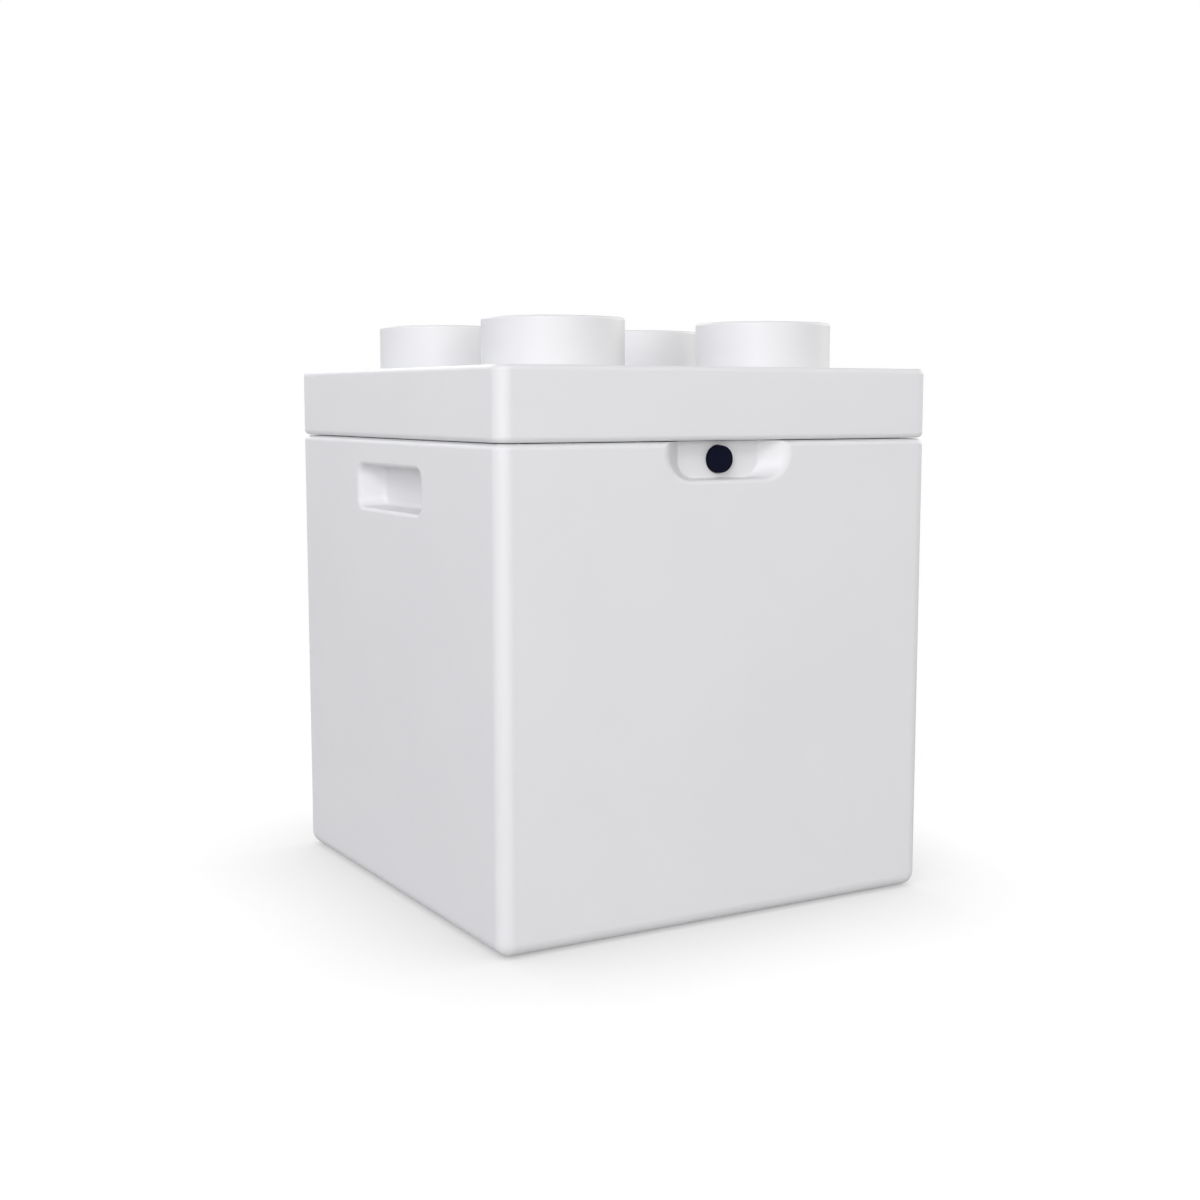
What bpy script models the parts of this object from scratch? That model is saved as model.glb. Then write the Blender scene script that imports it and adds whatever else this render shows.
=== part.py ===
"""A square plastic toy box with a hinged lid, shaped like a building block.

The body stands on four rubber feet. Its front has a finger recess under the
lid's seam, with a push-button that draws a magnetic catch away from a steel
keeper on the lid. Its sides have blind hand pockets. The lid has four hollow
studs and turns on two friction hinges in the seam at the back.

Lengths are in metres. X runs to the right, the front faces -Y and Z is up,
with the origin on the floor under the middle of the box.
"""

import math
from dataclasses import dataclass

import bmesh
import bpy
from mathutils import Vector

# Outer form
BOX_WIDTH = 0.400
BOX_DEPTH = 0.400
SEAM_HEIGHT = 0.3824
SEAM_GAP = 0.0012
LID_HEIGHT = 0.0565
STUD_HEIGHT = 0.0383
STUD_RADIUS = 0.0567
STUD_SPACING = 0.202
CORNER_RADIUS = 0.012
BASE_EDGE_RADIUS = 0.012
SEAM_EDGE_RADIUS = 0.0045
LID_EDGE_RADIUS = 0.0045
STUD_EDGE_RADIUS = 0.0025

# Clearances
SEAT_GAP = 0.0003
RUNNING_GAP = 0.0004
CUT_OVERRUN = 0.002

# Walls of the body
BODY_WALL = 0.0035
BODY_FLOOR = 0.0035
BODY_RIM_WIDTH = 0.009
BODY_RIM_HEIGHT = 0.010
RIM_BEAD_INSET = 0.0047
RIM_BEAD_HEIGHT = 0.0005
LEAST_INNER_RADIUS = 0.0015

# Hand pockets in the sides
POCKET_WIDTH = 0.128
POCKET_HEIGHT = 0.036
POCKET_DEPTH = 0.022
POCKET_END_SLANT = 0.008
POCKET_SILL_RISE = 0.002
POCKET_BELOW_RIM = 0.040
POCKET_CORNER_RADIUS = 0.009
POCKET_MOUTH_RADIUS = 0.0035
POCKET_FLOOR_RADIUS = 0.0035

# Finger recess in the front
RECESS_MOUTH_WIDTH = 0.1134
RECESS_BACK_WIDTH = 0.076
RECESS_HEIGHT = 0.029
RECESS_LEDGE_RISE = 0.0008
RECESS_DEPTH = 0.016
RECESS_MOUTH_CORNER = 0.021
RECESS_BACK_CORNER = 0.014
RECESS_MOUTH_RADIUS = 0.0037
RECESS_FLOOR_RADIUS = 0.0012

# Feet
FOOT_RADIUS = 0.013
FOOT_THICKNESS = 0.005
FOOT_STANDOFF = 0.0008
FOOT_INSET = 0.034
FOOT_EDGE_RADIUS = 0.001
FOOT_COUNTERBORE = 0.003
FOOT_BOSS_RADIUS = 0.0055
FOOT_SCREW_LENGTH = 0.010

# Walls of the lid
LID_WALL = 0.003
LID_RIM_WIDTH = 0.0085
LID_RIM_HEIGHT = 0.008
LINER_THICKNESS = 0.003
GUIDE_HEIGHT = 0.006
GUIDE_WIDTH = 0.0025
GUIDE_CLEARANCE = 0.0008
GUIDE_CORNER_GAP = 0.024
GUIDE_RECESS_GAP = 0.0222
GUIDE_BACK_GAP = 0.050
POST_RADIUS = 0.005
POST_INSET = 0.028
LINER_SCREW_LENGTH = 0.012

# Countersunk and pan-head screws
SCREW_SHANK_RADIUS = 0.00175
SCREW_HEAD_RADIUS = 0.0032
SCREW_HEAD_HEIGHT = 0.0013
SCREW_TIP_LENGTH = 0.002
PAN_HEAD_RADIUS = 0.003
PAN_HEAD_HEIGHT = 0.002

# Hinges
HINGE_FROM_SIDE = 0.080
HINGE_LENGTH = 0.056
HINGE_AXIS_BEHIND = 0.0005
HINGE_BARREL_RADIUS = 0.0042
HINGE_PIN_RADIUS = 0.0018
HINGE_PIN_HEAD_RADIUS = 0.003
HINGE_PIN_HEAD_LENGTH = 0.001
HINGE_KNUCKLE_LENGTH = 0.018
LEAF_WIDTH = 0.026
LEAF_THICKNESS = 0.0015
LEAF_SCREW_SPACING = 0.036
LEAF_SCREW_FROM_AXIS = 0.018
HINGE_SCREW_LENGTH = 0.012
HINGE_BOSS_MARGIN = 0.002
HINGE_BOSS_HEIGHT = 0.016

# Push-button
BUTTON_RADIUS = 0.0106
BUTTON_BELOW_RIM = 0.0136
BUTTON_STANDS_PROUD = 0.006
BUTTON_EDGE_RADIUS = 0.0012
BUTTON_TRAVEL = 0.005
BUTTON_FLANGE_WIDTH = 0.0018
BUTTON_FLANGE_THICKNESS = 0.002
BUTTON_STEM_RADIUS = 0.005
BUTTON_SCREW_LENGTH = 0.012

# Magnetic catch
KEEPER_THICKNESS = 0.0015
KEEPER_WALL_CLEARANCE = 0.0014
KEEPER_LEG_WIDTH = 0.010
KEEPER_LEG_OFFSET = 0.022
KEEPER_LEG_REACH = 0.020
KEEPER_PLATE_WIDTH = 0.060
KEEPER_PLATE_DEPTH = 0.018
KEEPER_SCREW_SPACING = 0.020
KEEPER_SCREW_LENGTH = 0.009
KEEPER_PAD_MARGIN = 0.004
KEEPER_PAD_HEIGHT = 0.007
MAGNET_RADIUS = 0.005
MAGNET_LENGTH = 0.005
MAGNET_STANDS_PROUD = 0.001
SLIDER_WIDTH = 0.066
SLIDER_HEIGHT = 0.020
SLIDER_THICKNESS = 0.0067
SLIDER_BELOW_BUTTON = 0.0025
SPRING_OFFSET = 0.011
SPRING_RADIUS = 0.003
SPRING_WIRE_RADIUS = 0.00035
SPRING_SEAT_DEPTH = 0.0025
SPRING_ROOM = 0.0107
SPRING_POST_RADIUS = 0.0018
SPRING_POST_LENGTH = 0.003
HOUSING_WALL = 0.0025
HOUSING_EAR_WIDTH = 0.020
HOUSING_EAR_HEIGHT = 0.014
LATCH_SCREW_OFFSET = 0.050
LATCH_BOSS_RADIUS = 0.005
LATCH_SCREW_LENGTH = 0.009

# Rubber bumpers between the rims
BUMPER_LENGTH = 0.014
BUMPER_WIDTH = 0.002
BUMPER_INNER_WALL = 0.0007
BUMPER_SOCKET_DEPTH = 0.0015
BUMPER_FROM_SIDE = 0.060
BUMPER_FROM_BACK = 0.110

# Bevel profile of a quarter circle
ROUND_PROFILE_SHARE = 0.5

# Counts that set how finely round shapes are cut
CORNER_STEPS = 5
EDGE_STEPS = 3
STUD_STEPS = 40
ROUND_STEPS = 20
SMALL_STEPS = 12
SPRING_TURNS = 6
SPRING_STEPS = 8

# Places worked out from the sizes above
FRONT_FACE = -BOX_DEPTH / 2
BACK_FACE = BOX_DEPTH / 2
BODY_BOTTOM = FOOT_STANDOFF
BODY_TOP = SEAM_HEIGHT - SEAM_GAP / 2
LID_BOTTOM = SEAM_HEIGHT + SEAM_GAP / 2
HINGE_AXIS_Y = BACK_FACE + HINGE_AXIS_BEHIND
HINGE_MIDDLE = BOX_WIDTH / 2 - HINGE_FROM_SIDE
BUTTON_HEIGHT = BODY_TOP - BUTTON_BELOW_RIM
RECESS_BACK = FRONT_FACE + RECESS_DEPTH
LATCH_WALL = RECESS_BACK + BODY_WALL
LATCH_SEAT = LATCH_WALL + SEAT_GAP
KEEPER_FRONT = LATCH_WALL + KEEPER_WALL_CLEARANCE
MAGNET_FRONT = KEEPER_FRONT + KEEPER_THICKNESS + RUNNING_GAP
SLIDER_FRONT = MAGNET_FRONT + MAGNET_STANDS_PROUD
SLIDER_BACK = SLIDER_FRONT + SLIDER_THICKNESS
SLIDER_HEIGHT_MIDDLE = BUTTON_HEIGHT - SLIDER_BELOW_BUTTON
HOUSING_BACK_INSIDE = SLIDER_BACK + SPRING_ROOM
SCREW_HOLE_RADIUS = SCREW_SHANK_RADIUS + SEAT_GAP
# Turns of pieces that are modelled along Z
TO_FRONT = (math.pi / 2, 0, 0)
TO_BACK = (-math.pi / 2, 0, 0)
UPSIDE_DOWN = (math.pi, 0, 0)
ALONG_X = (0, math.pi / 2, 0)
UPRIGHT = (0, 0, 0)

# Names of mirrored pieces, with the sign of their place
SIDES = {"left": -1, "right": 1}
ENDS = {"front": -1, "back": 1}


@dataclass(frozen=True)
class Finish:
    """Colour and surface of one kind of material."""

    colour: tuple
    roughness: float
    metallic: float = 0.0


WHITE_PLASTIC = Finish((0.76, 0.76, 0.77), 0.38)
LINER_PLASTIC = Finish((0.70, 0.70, 0.71), 0.50)
GREY_PLASTIC = Finish((0.22, 0.23, 0.24), 0.50)
BLACK_PLASTIC = Finish((0.008, 0.008, 0.016), 0.45)
GREY_RUBBER = Finish((0.10, 0.10, 0.105), 0.80)
ZINC_STEEL = Finish((0.62, 0.63, 0.64), 0.35, 1.0)
SPRING_STEEL = Finish((0.50, 0.51, 0.52), 0.30, 1.0)
NICKEL = Finish((0.72, 0.70, 0.66), 0.18, 1.0)


def clear_scene():
    """Removes whatever the scene holds."""
    for item in list(bpy.data.objects):
        bpy.data.objects.remove(item)


def new_empty(name, position):
    """An empty that carries the pieces of one moving or fixed group."""
    empty = bpy.data.objects.new(name, None)
    empty.location = position
    bpy.context.scene.collection.objects.link(empty)
    return empty


def new_object(name, shape):
    """An object from a bmesh, with its faces pointing out and smooth round sides."""
    bmesh.ops.recalc_face_normals(shape, faces=shape.faces)
    mesh = bpy.data.meshes.new(name)
    shape.to_mesh(mesh)
    shape.free()
    mesh.shade_smooth()
    mesh.set_sharp_from_angle(angle=math.radians(35))
    piece = bpy.data.objects.new(name, mesh)
    bpy.context.scene.collection.objects.link(piece)
    return piece


def give_finish(piece, finish):
    """Gives a piece a Principled material of its own."""
    material = bpy.data.materials.new(piece.name)
    material.use_nodes = True
    shader = material.node_tree.nodes["Principled BSDF"]
    shader.inputs["Base Color"].default_value = (*finish.colour, 1.0)
    shader.inputs["Roughness"].default_value = finish.roughness
    shader.inputs["Metallic"].default_value = finish.metallic
    material.diffuse_color = (*finish.colour, 1.0)
    piece.data.materials.clear()
    piece.data.materials.append(material)


def place(piece, position, parent, turn=UPRIGHT):
    """Hangs a piece on an empty with its origin at a position in the room."""
    piece.parent = parent
    piece.location = Vector(position) - parent.location
    piece.rotation_euler = turn


def combine(piece, other, operation, solver):
    """Joins a helper shape to a piece or cuts it out, and hides the helper."""
    modifier = piece.modifiers.new(other.name, "BOOLEAN")
    modifier.operation = operation
    modifier.solver = solver
    modifier.object = other
    other.hide_render = True
    other.display_type = "WIRE"


def cut(piece, *cutters, solver="EXACT"):
    """Cuts each cutter out of the piece."""
    for cutter in cutters:
        combine(piece, cutter, "DIFFERENCE", solver)


def join(piece, *others, solver="EXACT"):
    """Joins each shape to the piece."""
    for other in others:
        combine(piece, other, "UNION", solver)


def rounded_outline(half_width, half_height, radius):
    """Points of a rounded rectangle about the origin, anticlockwise."""
    points = []
    for quarter, (side, level) in enumerate(((1, 1), (-1, 1), (-1, -1), (1, -1))):
        for step in range(CORNER_STEPS + 1):
            angle = math.pi / 2 * (quarter + step / CORNER_STEPS)
            across = side * (half_width - radius) + radius * math.cos(angle)
            up = level * (half_height - radius) + radius * math.sin(angle)
            points.append((across, up))
    return points


def loft(name, rings):
    """A closed shape through rings of points, each ring with the same count."""
    shape = bmesh.new()
    loops = []
    for ring in rings:
        corners = [shape.verts.new(point) for point in ring]
        loops.append([shape.edges.new((corners[i - 1], corners[i])) for i in range(len(corners))])
    for lower, upper in zip(loops, loops[1:]):
        bmesh.ops.bridge_loops(shape, edges=lower + upper)
    for end in (loops[0], loops[-1]):
        bmesh.ops.edgeloop_fill(shape, edges=end)
    return new_object(name, shape)


def upright_loft(name, levels, width, depth, corner_radius):
    """Rounded rectangles stacked along Z: each level has an inset and a height."""
    rings = []
    for inset, height in levels:
        radius = max(corner_radius - inset, LEAST_INNER_RADIUS)
        points = rounded_outline(width / 2 - inset, depth / 2 - inset, radius)
        rings.append([(x, y, height) for x, y in points])
    return loft(name, rings)


def block(name, size):
    """A plain block of the given size, centred on its origin."""
    shape = bmesh.new()
    bmesh.ops.create_cube(shape, size=1.0)
    bmesh.ops.scale(shape, vec=size, verts=shape.verts)
    return new_object(name, shape)


def rounded_block(name, size, corner_radius, lower_radius, upper_radius):
    """A block on its origin, with rounded upright, lower and upper edges."""
    width, depth, height = size
    shape = bmesh.new()
    bmesh.ops.create_cube(shape, size=1.0)
    bmesh.ops.translate(shape, vec=(0, 0, 1 / 2), verts=shape.verts)
    bmesh.ops.scale(shape, vec=(width, depth, height), verts=shape.verts)
    upright = [edge for edge in shape.edges if abs(edge.verts[0].co.z - edge.verts[1].co.z) > height / 2]
    bevel_edges(shape, upright, corner_radius, CORNER_STEPS)
    for level, radius in ((0, lower_radius), (height, upper_radius)):
        ring = [edge for edge in shape.edges if all(abs(v.co.z - level) < radius / 2 for v in edge.verts)]
        bevel_edges(shape, ring, radius, EDGE_STEPS)
    return new_object(name, shape)


def bevel_edges(shape, edges, radius, steps):
    """Rounds the given edges of a bmesh."""
    bmesh.ops.bevel(
        shape,
        geom=edges,
        offset=radius,
        offset_type="OFFSET",
        segments=steps,
        profile=ROUND_PROFILE_SHARE,
        affect="EDGES",
        material=-1,
    )


def turned(name, profile, steps=SMALL_STEPS):
    """A turned solid about Z from (radius, height) points that start and end on the axis."""
    return spun(name, profile, steps, closed=False)


def turned_ring(name, profile, steps=SMALL_STEPS):
    """A turned ring about Z from a closed outline of (radius, height) points."""
    return spun(name, profile, steps, closed=True)


def spun(name, profile, steps, closed):
    """Spins an outline once about Z."""
    shape = bmesh.new()
    corners = [shape.verts.new((radius, 0, height)) for radius, height in profile]
    first = 0 if closed else 1
    for i in range(first, len(corners)):
        shape.edges.new((corners[i - 1], corners[i]))
    bmesh.ops.spin(
        shape,
        geom=shape.verts[:] + shape.edges[:],
        cent=(0, 0, 0),
        axis=(0, 0, 1),
        angle=math.tau,
        steps=steps,
        use_merge=True,
        use_duplicate=False,
    )
    bmesh.ops.remove_doubles(shape, verts=shape.verts, dist=SEAT_GAP / 100)
    return new_object(name, shape)


def cylinder(name, radius, bottom, top, steps=SMALL_STEPS):
    """A cylinder along Z from one height to another."""
    return turned(name, [(0, bottom), (radius, bottom), (radius, top), (0, top)], steps)


def convex_round(radius, outward, level, steps=EDGE_STEPS):
    """Points of a rounded outer edge that goes from flat to upright, as (inset, height) pairs."""
    points = []
    for step in range(steps + 1):
        angle = math.pi / 2 * step / steps
        points.append((radius * (1 - math.sin(angle)), level - outward * radius * (1 - math.cos(angle))))
    return points


# Body


def pocket_outline(side, depth, offset, slope_from):
    """The pocket's outline at a depth behind the side face, grown by an offset."""
    share = min(max((depth - slope_from) / POCKET_DEPTH, 0), 1)
    half_width = POCKET_WIDTH / 2 - share * POCKET_END_SLANT + offset
    rise = share * POCKET_SILL_RISE
    half_height = (POCKET_HEIGHT - rise) / 2 + offset
    points = rounded_outline(half_width, half_height, POCKET_CORNER_RADIUS + offset)
    middle = BODY_TOP - POCKET_BELOW_RIM + rise / 2
    x = side * (BOX_WIDTH / 2 - depth)
    return [(x, y, middle + z) for y, z in points]


def pocket_cutter(name, side):
    """The pocket's room, with a rounded mouth, slanted ends and a rounded floor."""
    rings = [pocket_outline(side, -CUT_OVERRUN, POCKET_MOUTH_RADIUS, 0)]
    for step in range(EDGE_STEPS + 1):
        angle = math.pi / 2 * step / EDGE_STEPS
        offset = POCKET_MOUTH_RADIUS * (1 - math.sin(angle))
        depth = POCKET_MOUTH_RADIUS * (1 - math.cos(angle))
        rings.append(pocket_outline(side, depth, offset, 0))
    for step in range(EDGE_STEPS + 1):
        angle = math.pi / 2 * step / EDGE_STEPS
        offset = -POCKET_FLOOR_RADIUS * (1 - math.cos(angle))
        depth = POCKET_DEPTH - POCKET_FLOOR_RADIUS * (1 - math.sin(angle))
        rings.append(pocket_outline(side, depth, offset, 0))
    return loft(name, rings)


def pocket_case(name, side):
    """The walls round the pocket, as a solid that the body's room leaves standing."""
    depths = (BODY_WALL / 2, BODY_WALL, POCKET_DEPTH + BODY_WALL)
    return loft(name, [pocket_outline(side, depth, BODY_WALL, BODY_WALL) for depth in depths])


def recess_outline(depth, offset, slope_from):
    """The recess's outline in the XZ plane at a depth behind the front face."""
    share = min(max((depth - slope_from) / RECESS_DEPTH, 0), 1)
    half_width = (RECESS_MOUTH_WIDTH + share * (RECESS_BACK_WIDTH - RECESS_MOUTH_WIDTH)) / 2 + offset
    bottom = BODY_TOP - RECESS_HEIGHT + share * RECESS_LEDGE_RISE - offset
    radius = RECESS_MOUTH_CORNER + share * (RECESS_BACK_CORNER - RECESS_MOUTH_CORNER) + offset
    top = BODY_TOP + CUT_OVERRUN
    y = FRONT_FACE + depth
    points = [(half_width, y, top), (-half_width, y, top)]
    for side, start in ((-1, math.pi), (1, 3 * math.pi / 2)):
        for step in range(CORNER_STEPS + 1):
            angle = start + math.pi / 2 * step / CORNER_STEPS
            x = side * (half_width - radius) + radius * math.cos(angle)
            z = bottom + radius + radius * math.sin(angle)
            points.append((x, y, z))
    return points


def recess_cutter():
    """The recess's room, wide at its rounded mouth and narrower at its back."""
    rings = [recess_outline(-CUT_OVERRUN, RECESS_MOUTH_RADIUS, 0)]
    for step in range(EDGE_STEPS + 1):
        angle = math.pi / 2 * step / EDGE_STEPS
        offset = RECESS_MOUTH_RADIUS * (1 - math.sin(angle))
        depth = RECESS_MOUTH_RADIUS * (1 - math.cos(angle))
        rings.append(recess_outline(depth, offset, 0))
    for step in range(EDGE_STEPS + 1):
        angle = math.pi / 2 * step / EDGE_STEPS
        offset = -RECESS_FLOOR_RADIUS * (1 - math.cos(angle))
        depth = RECESS_DEPTH - RECESS_FLOOR_RADIUS * (1 - math.sin(angle))
        rings.append(recess_outline(depth, offset, 0))
    return loft("recess_cutter", rings)


def recess_case():
    """The walls round the recess, as a solid that the body's room leaves standing."""
    depths = (BODY_WALL / 2, BODY_WALL, RECESS_DEPTH + BODY_WALL)
    return loft("recess_case", [recess_outline(depth, BODY_WALL, BODY_WALL) for depth in depths])


def hinge_boss(name, side, level, up):
    """A block behind a rim that a hinge leaf is screwed to, with a sloped far side."""
    half = HINGE_LENGTH / 2 + HINGE_BOSS_MARGIN
    near = HINGE_AXIS_Y - LEAF_WIDTH - HINGE_BOSS_MARGIN
    wall = BACK_FACE - LID_WALL / 2
    mouth = level - up * CUT_OVERRUN
    shoulder = level + up * HINGE_BOSS_HEIGHT
    foot = shoulder + up * (wall - near)
    outline = [(near, mouth), (near, shoulder), (wall, foot), (wall, mouth)]
    middle = side * HINGE_MIDDLE
    rings = [[(middle + x, y, z) for y, z in outline] for x in (-half, half)]
    return loft(name, rings)


def foot_centres():
    """Name, X and Y of each foot."""
    for end, way in ENDS.items():
        for side, sign in SIDES.items():
            x = sign * (BOX_WIDTH / 2 - FOOT_INSET)
            y = way * (BOX_DEPTH / 2 - FOOT_INSET)
            yield f"{end}_{side}", x, y


def foot_boss(name):
    """A stepped boss inside the body over a foot's socket."""
    wide = FOOT_RADIUS + SEAT_GAP + BODY_WALL
    step = FOOT_THICKNESS + SEAT_GAP + BODY_FLOOR
    top = FOOT_COUNTERBORE + FOOT_SCREW_LENGTH + BODY_FLOOR
    base = BODY_BOTTOM + BODY_FLOOR / 2
    narrow = FOOT_BOSS_RADIUS
    profile = [(0, base), (wide, base), (wide, step), (narrow, step), (narrow, top), (0, top)]
    return turned(name, profile, ROUND_STEPS)


def foot_socket(name):
    """The room for a foot and its screw under the body."""
    wide = FOOT_RADIUS + SEAT_GAP
    roof = FOOT_THICKNESS + SEAT_GAP
    end = FOOT_COUNTERBORE + FOOT_SCREW_LENGTH
    low = -CUT_OVERRUN
    narrow = SCREW_HOLE_RADIUS
    profile = [(0, low), (wide, low), (wide, roof), (narrow, roof), (narrow, end), (0, end)]
    return turned(name, profile, ROUND_STEPS)


def body_room(parent):
    """The body's inner room, less the cases and bosses that stand in it."""
    floor = BODY_BOTTOM + BODY_FLOOR
    fillet = max(BASE_EDGE_RADIUS - BODY_WALL, LEAST_INNER_RADIUS)
    levels = [(BODY_WALL + inset, height) for inset, height in convex_round(fillet, -1, floor)]
    shelf = BODY_TOP - BODY_RIM_HEIGHT
    levels.append((BODY_WALL, shelf - (BODY_RIM_WIDTH - BODY_WALL)))
    levels.append((BODY_RIM_WIDTH, shelf))
    levels.append((BODY_RIM_WIDTH, BODY_TOP + CUT_OVERRUN))
    room = upright_loft("body_room", levels, BOX_WIDTH, BOX_DEPTH, CORNER_RADIUS)
    place(room, (0, 0, 0), parent)
    kept = [recess_case()]
    for side, sign in SIDES.items():
        kept.append(pocket_case(f"pocket_case_{side}", sign))
        kept.append(hinge_boss(f"body_hinge_boss_{side}", sign, BODY_TOP, -1))
    for case in kept:
        place(case, (0, 0, 0), parent)
    for side, x in latch_screw_places():
        boss = cylinder(f"latch_boss_{side}", LATCH_BOSS_RADIUS, 0, LATCH_SEAT - FRONT_FACE - BODY_WALL / 2)
        place(boss, (x, LATCH_SEAT, SLIDER_HEIGHT_MIDDLE), parent, TO_FRONT)
        kept.append(boss)
    for name, x, y in foot_centres():
        boss = foot_boss(f"foot_boss_{name}")
        place(boss, (x, y, 0), parent)
        kept.append(boss)
    cut(room, *kept)
    return room


def bumper_sinks(parent):
    """Sinks in the rim's bead for the lid's bumpers."""
    sinks = []
    height = 4 * CUT_OVERRUN
    size = (BUMPER_LENGTH + 2 * SEAT_GAP, BUMPER_WIDTH + 2 * SEAT_GAP, height)
    for name, x, y, quarters in bumper_places():
        sink = block(f"bumper_sink_{name}", size)
        place(sink, (x, y, BODY_TOP + height / 2), parent, (0, 0, quarters * math.pi / 2))
        sinks.append(sink)
    return sinks


def body_shell(parent):
    """The moulded tub with its recess, pockets, sockets and hinge mortises."""
    levels = convex_round(BASE_EDGE_RADIUS, -1, BODY_BOTTOM)
    levels += reversed(convex_round(SEAM_EDGE_RADIUS, 1, BODY_TOP))
    levels += [(RIM_BEAD_INSET, BODY_TOP), (RIM_BEAD_INSET, BODY_TOP + RIM_BEAD_HEIGHT)]
    shell = upright_loft("body_shell", levels, BOX_WIDTH, BOX_DEPTH, CORNER_RADIUS)
    place(shell, (0, 0, 0), parent)
    cutters = [body_room(parent), recess_cutter()]
    for side, sign in SIDES.items():
        cutters.append(pocket_cutter(f"pocket_cutter_{side}", sign))
    for cutter in cutters:
        place(cutter, (0, 0, 0), parent)
    hole_radius = BUTTON_RADIUS + RUNNING_GAP
    hole_end = BODY_WALL + CUT_OVERRUN
    hole = cylinder("button_hole", hole_radius, -hole_end, CUT_OVERRUN, ROUND_STEPS)
    place(hole, (0, RECESS_BACK, BUTTON_HEIGHT), parent, TO_FRONT)
    cutters.append(hole)
    depth = LATCH_SCREW_LENGTH - HOUSING_WALL + SEAT_GAP
    for side, x in latch_screw_places():
        screw_hole = cylinder(f"latch_screw_hole_{side}", SCREW_HOLE_RADIUS, -CUT_OVERRUN, depth)
        place(screw_hole, (x, LATCH_SEAT, SLIDER_HEIGHT_MIDDLE), parent, TO_FRONT)
        cutters.append(screw_hole)
    for name, x, y in foot_centres():
        socket = foot_socket(f"foot_socket_{name}")
        place(socket, (x, y, 0), parent)
        cutters.append(socket)
    cutters += bumper_sinks(parent)
    cutters += hinge_cutters("body", parent, -1)
    cut(shell, *cutters, solver="MANIFOLD")
    give_finish(shell, WHITE_PLASTIC)
    return shell


def latch_screw_places():
    """Name and X of each screw of the latch housing."""
    return [(side, sign * LATCH_SCREW_OFFSET) for side, sign in SIDES.items()]


def hinge_cutters(name, parent, up):
    """The mortises, barrel channels and screw holes for one side's hinge leaves."""
    cutters = []
    half_leaf = HINGE_LENGTH / 2 + SEAT_GAP
    hole_depth = HINGE_SCREW_LENGTH + SEAT_GAP
    face = SEAM_HEIGHT + up * (LEAF_THICKNESS + 3 * SEAT_GAP / 2)
    clear = SEAM_GAP / 2 + LEAF_THICKNESS + CUT_OVERRUN
    for side, sign in SIDES.items():
        middle = sign * HINGE_MIDDLE
        mortise = block(f"{name}_mortise_{side}", (2 * half_leaf, LEAF_WIDTH + SEAT_GAP, clear))
        place(mortise, (middle, HINGE_AXIS_Y - (LEAF_WIDTH + SEAT_GAP) / 2, face - up * clear / 2), parent)
        channel_radius = HINGE_BARREL_RADIUS + RUNNING_GAP
        channel_end = half_leaf + HINGE_PIN_HEAD_LENGTH + SEAT_GAP
        channel = cylinder(f"{name}_channel_{side}", channel_radius, -channel_end, channel_end, ROUND_STEPS)
        place(channel, (middle, HINGE_AXIS_Y, SEAM_HEIGHT), parent, ALONG_X)
        cutters += [mortise, channel]
        for number, (x, y) in enumerate(leaf_screw_places(middle), 1):
            hole = cylinder(f"{name}_hole_{side}_{number}", SCREW_HOLE_RADIUS, 0, hole_depth)
            turn = UPRIGHT if up > 0 else UPSIDE_DOWN
            place(hole, (x, y, SEAM_HEIGHT), parent, turn)
            cutters.append(hole)
    return cutters


def leaf_screw_places(middle):
    """X and Y of the two screws in each leaf of a hinge."""
    y = HINGE_AXIS_Y - LEAF_SCREW_FROM_AXIS
    return [(middle + way * LEAF_SCREW_SPACING / 2, y) for way in (-1, 1)]


def feet(parent):
    """Four rubber feet, each on a pan-head screw from below."""
    bore = SCREW_HOLE_RADIUS
    recess = PAN_HEAD_RADIUS + SEAT_GAP
    edge = FOOT_EDGE_RADIUS
    profile = [
        (recess, 0),
        (FOOT_RADIUS - edge, 0),
        (FOOT_RADIUS, edge),
        (FOOT_RADIUS, FOOT_THICKNESS),
        (bore, FOOT_THICKNESS),
        (bore, FOOT_COUNTERBORE),
        (recess, FOOT_COUNTERBORE),
    ]
    for name, x, y in foot_centres():
        foot = turned_ring(f"foot_{name}", profile, ROUND_STEPS)
        place(foot, (x, y, 0), parent)
        give_finish(foot, GREY_RUBBER)
        screw = pan_screw(f"foot_screw_{name}", FOOT_SCREW_LENGTH)
        place(screw, (x, y, FOOT_COUNTERBORE - SEAT_GAP), parent, UPSIDE_DOWN)


# Screws


def flat_screw(name, length):
    """A countersunk screw with its head's top at the origin and its tip down."""
    shank = SCREW_SHANK_RADIUS
    profile = [
        (0, 0),
        (SCREW_HEAD_RADIUS, 0),
        (shank, -SCREW_HEAD_HEIGHT),
        (shank, SCREW_TIP_LENGTH - length),
        (0, -length),
    ]
    screw = turned(name, profile)
    give_finish(screw, ZINC_STEEL)
    return screw


def pan_screw(name, length):
    """A pan-head screw with the underside of its head at the origin and its tip down."""
    shank = SCREW_SHANK_RADIUS
    profile = [
        (0, PAN_HEAD_HEIGHT),
        (PAN_HEAD_RADIUS / 2, PAN_HEAD_HEIGHT),
        (PAN_HEAD_RADIUS, PAN_HEAD_HEIGHT / 2),
        (PAN_HEAD_RADIUS, 0),
        (shank, 0),
        (shank, SCREW_TIP_LENGTH - length),
        (0, -length),
    ]
    screw = turned(name, profile)
    give_finish(screw, ZINC_STEEL)
    return screw


def flat_screw_hole(name, length):
    """A countersunk hole for a flat screw whose head is flush at the origin."""
    head = SCREW_HEAD_RADIUS + SEAT_GAP
    bore = SCREW_HOLE_RADIUS
    profile = [
        (0, CUT_OVERRUN),
        (head, CUT_OVERRUN),
        (head, 0),
        (bore, -SCREW_HEAD_HEIGHT),
        (bore, -length),
        (0, -length),
    ]
    return turned(name, profile)


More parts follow.
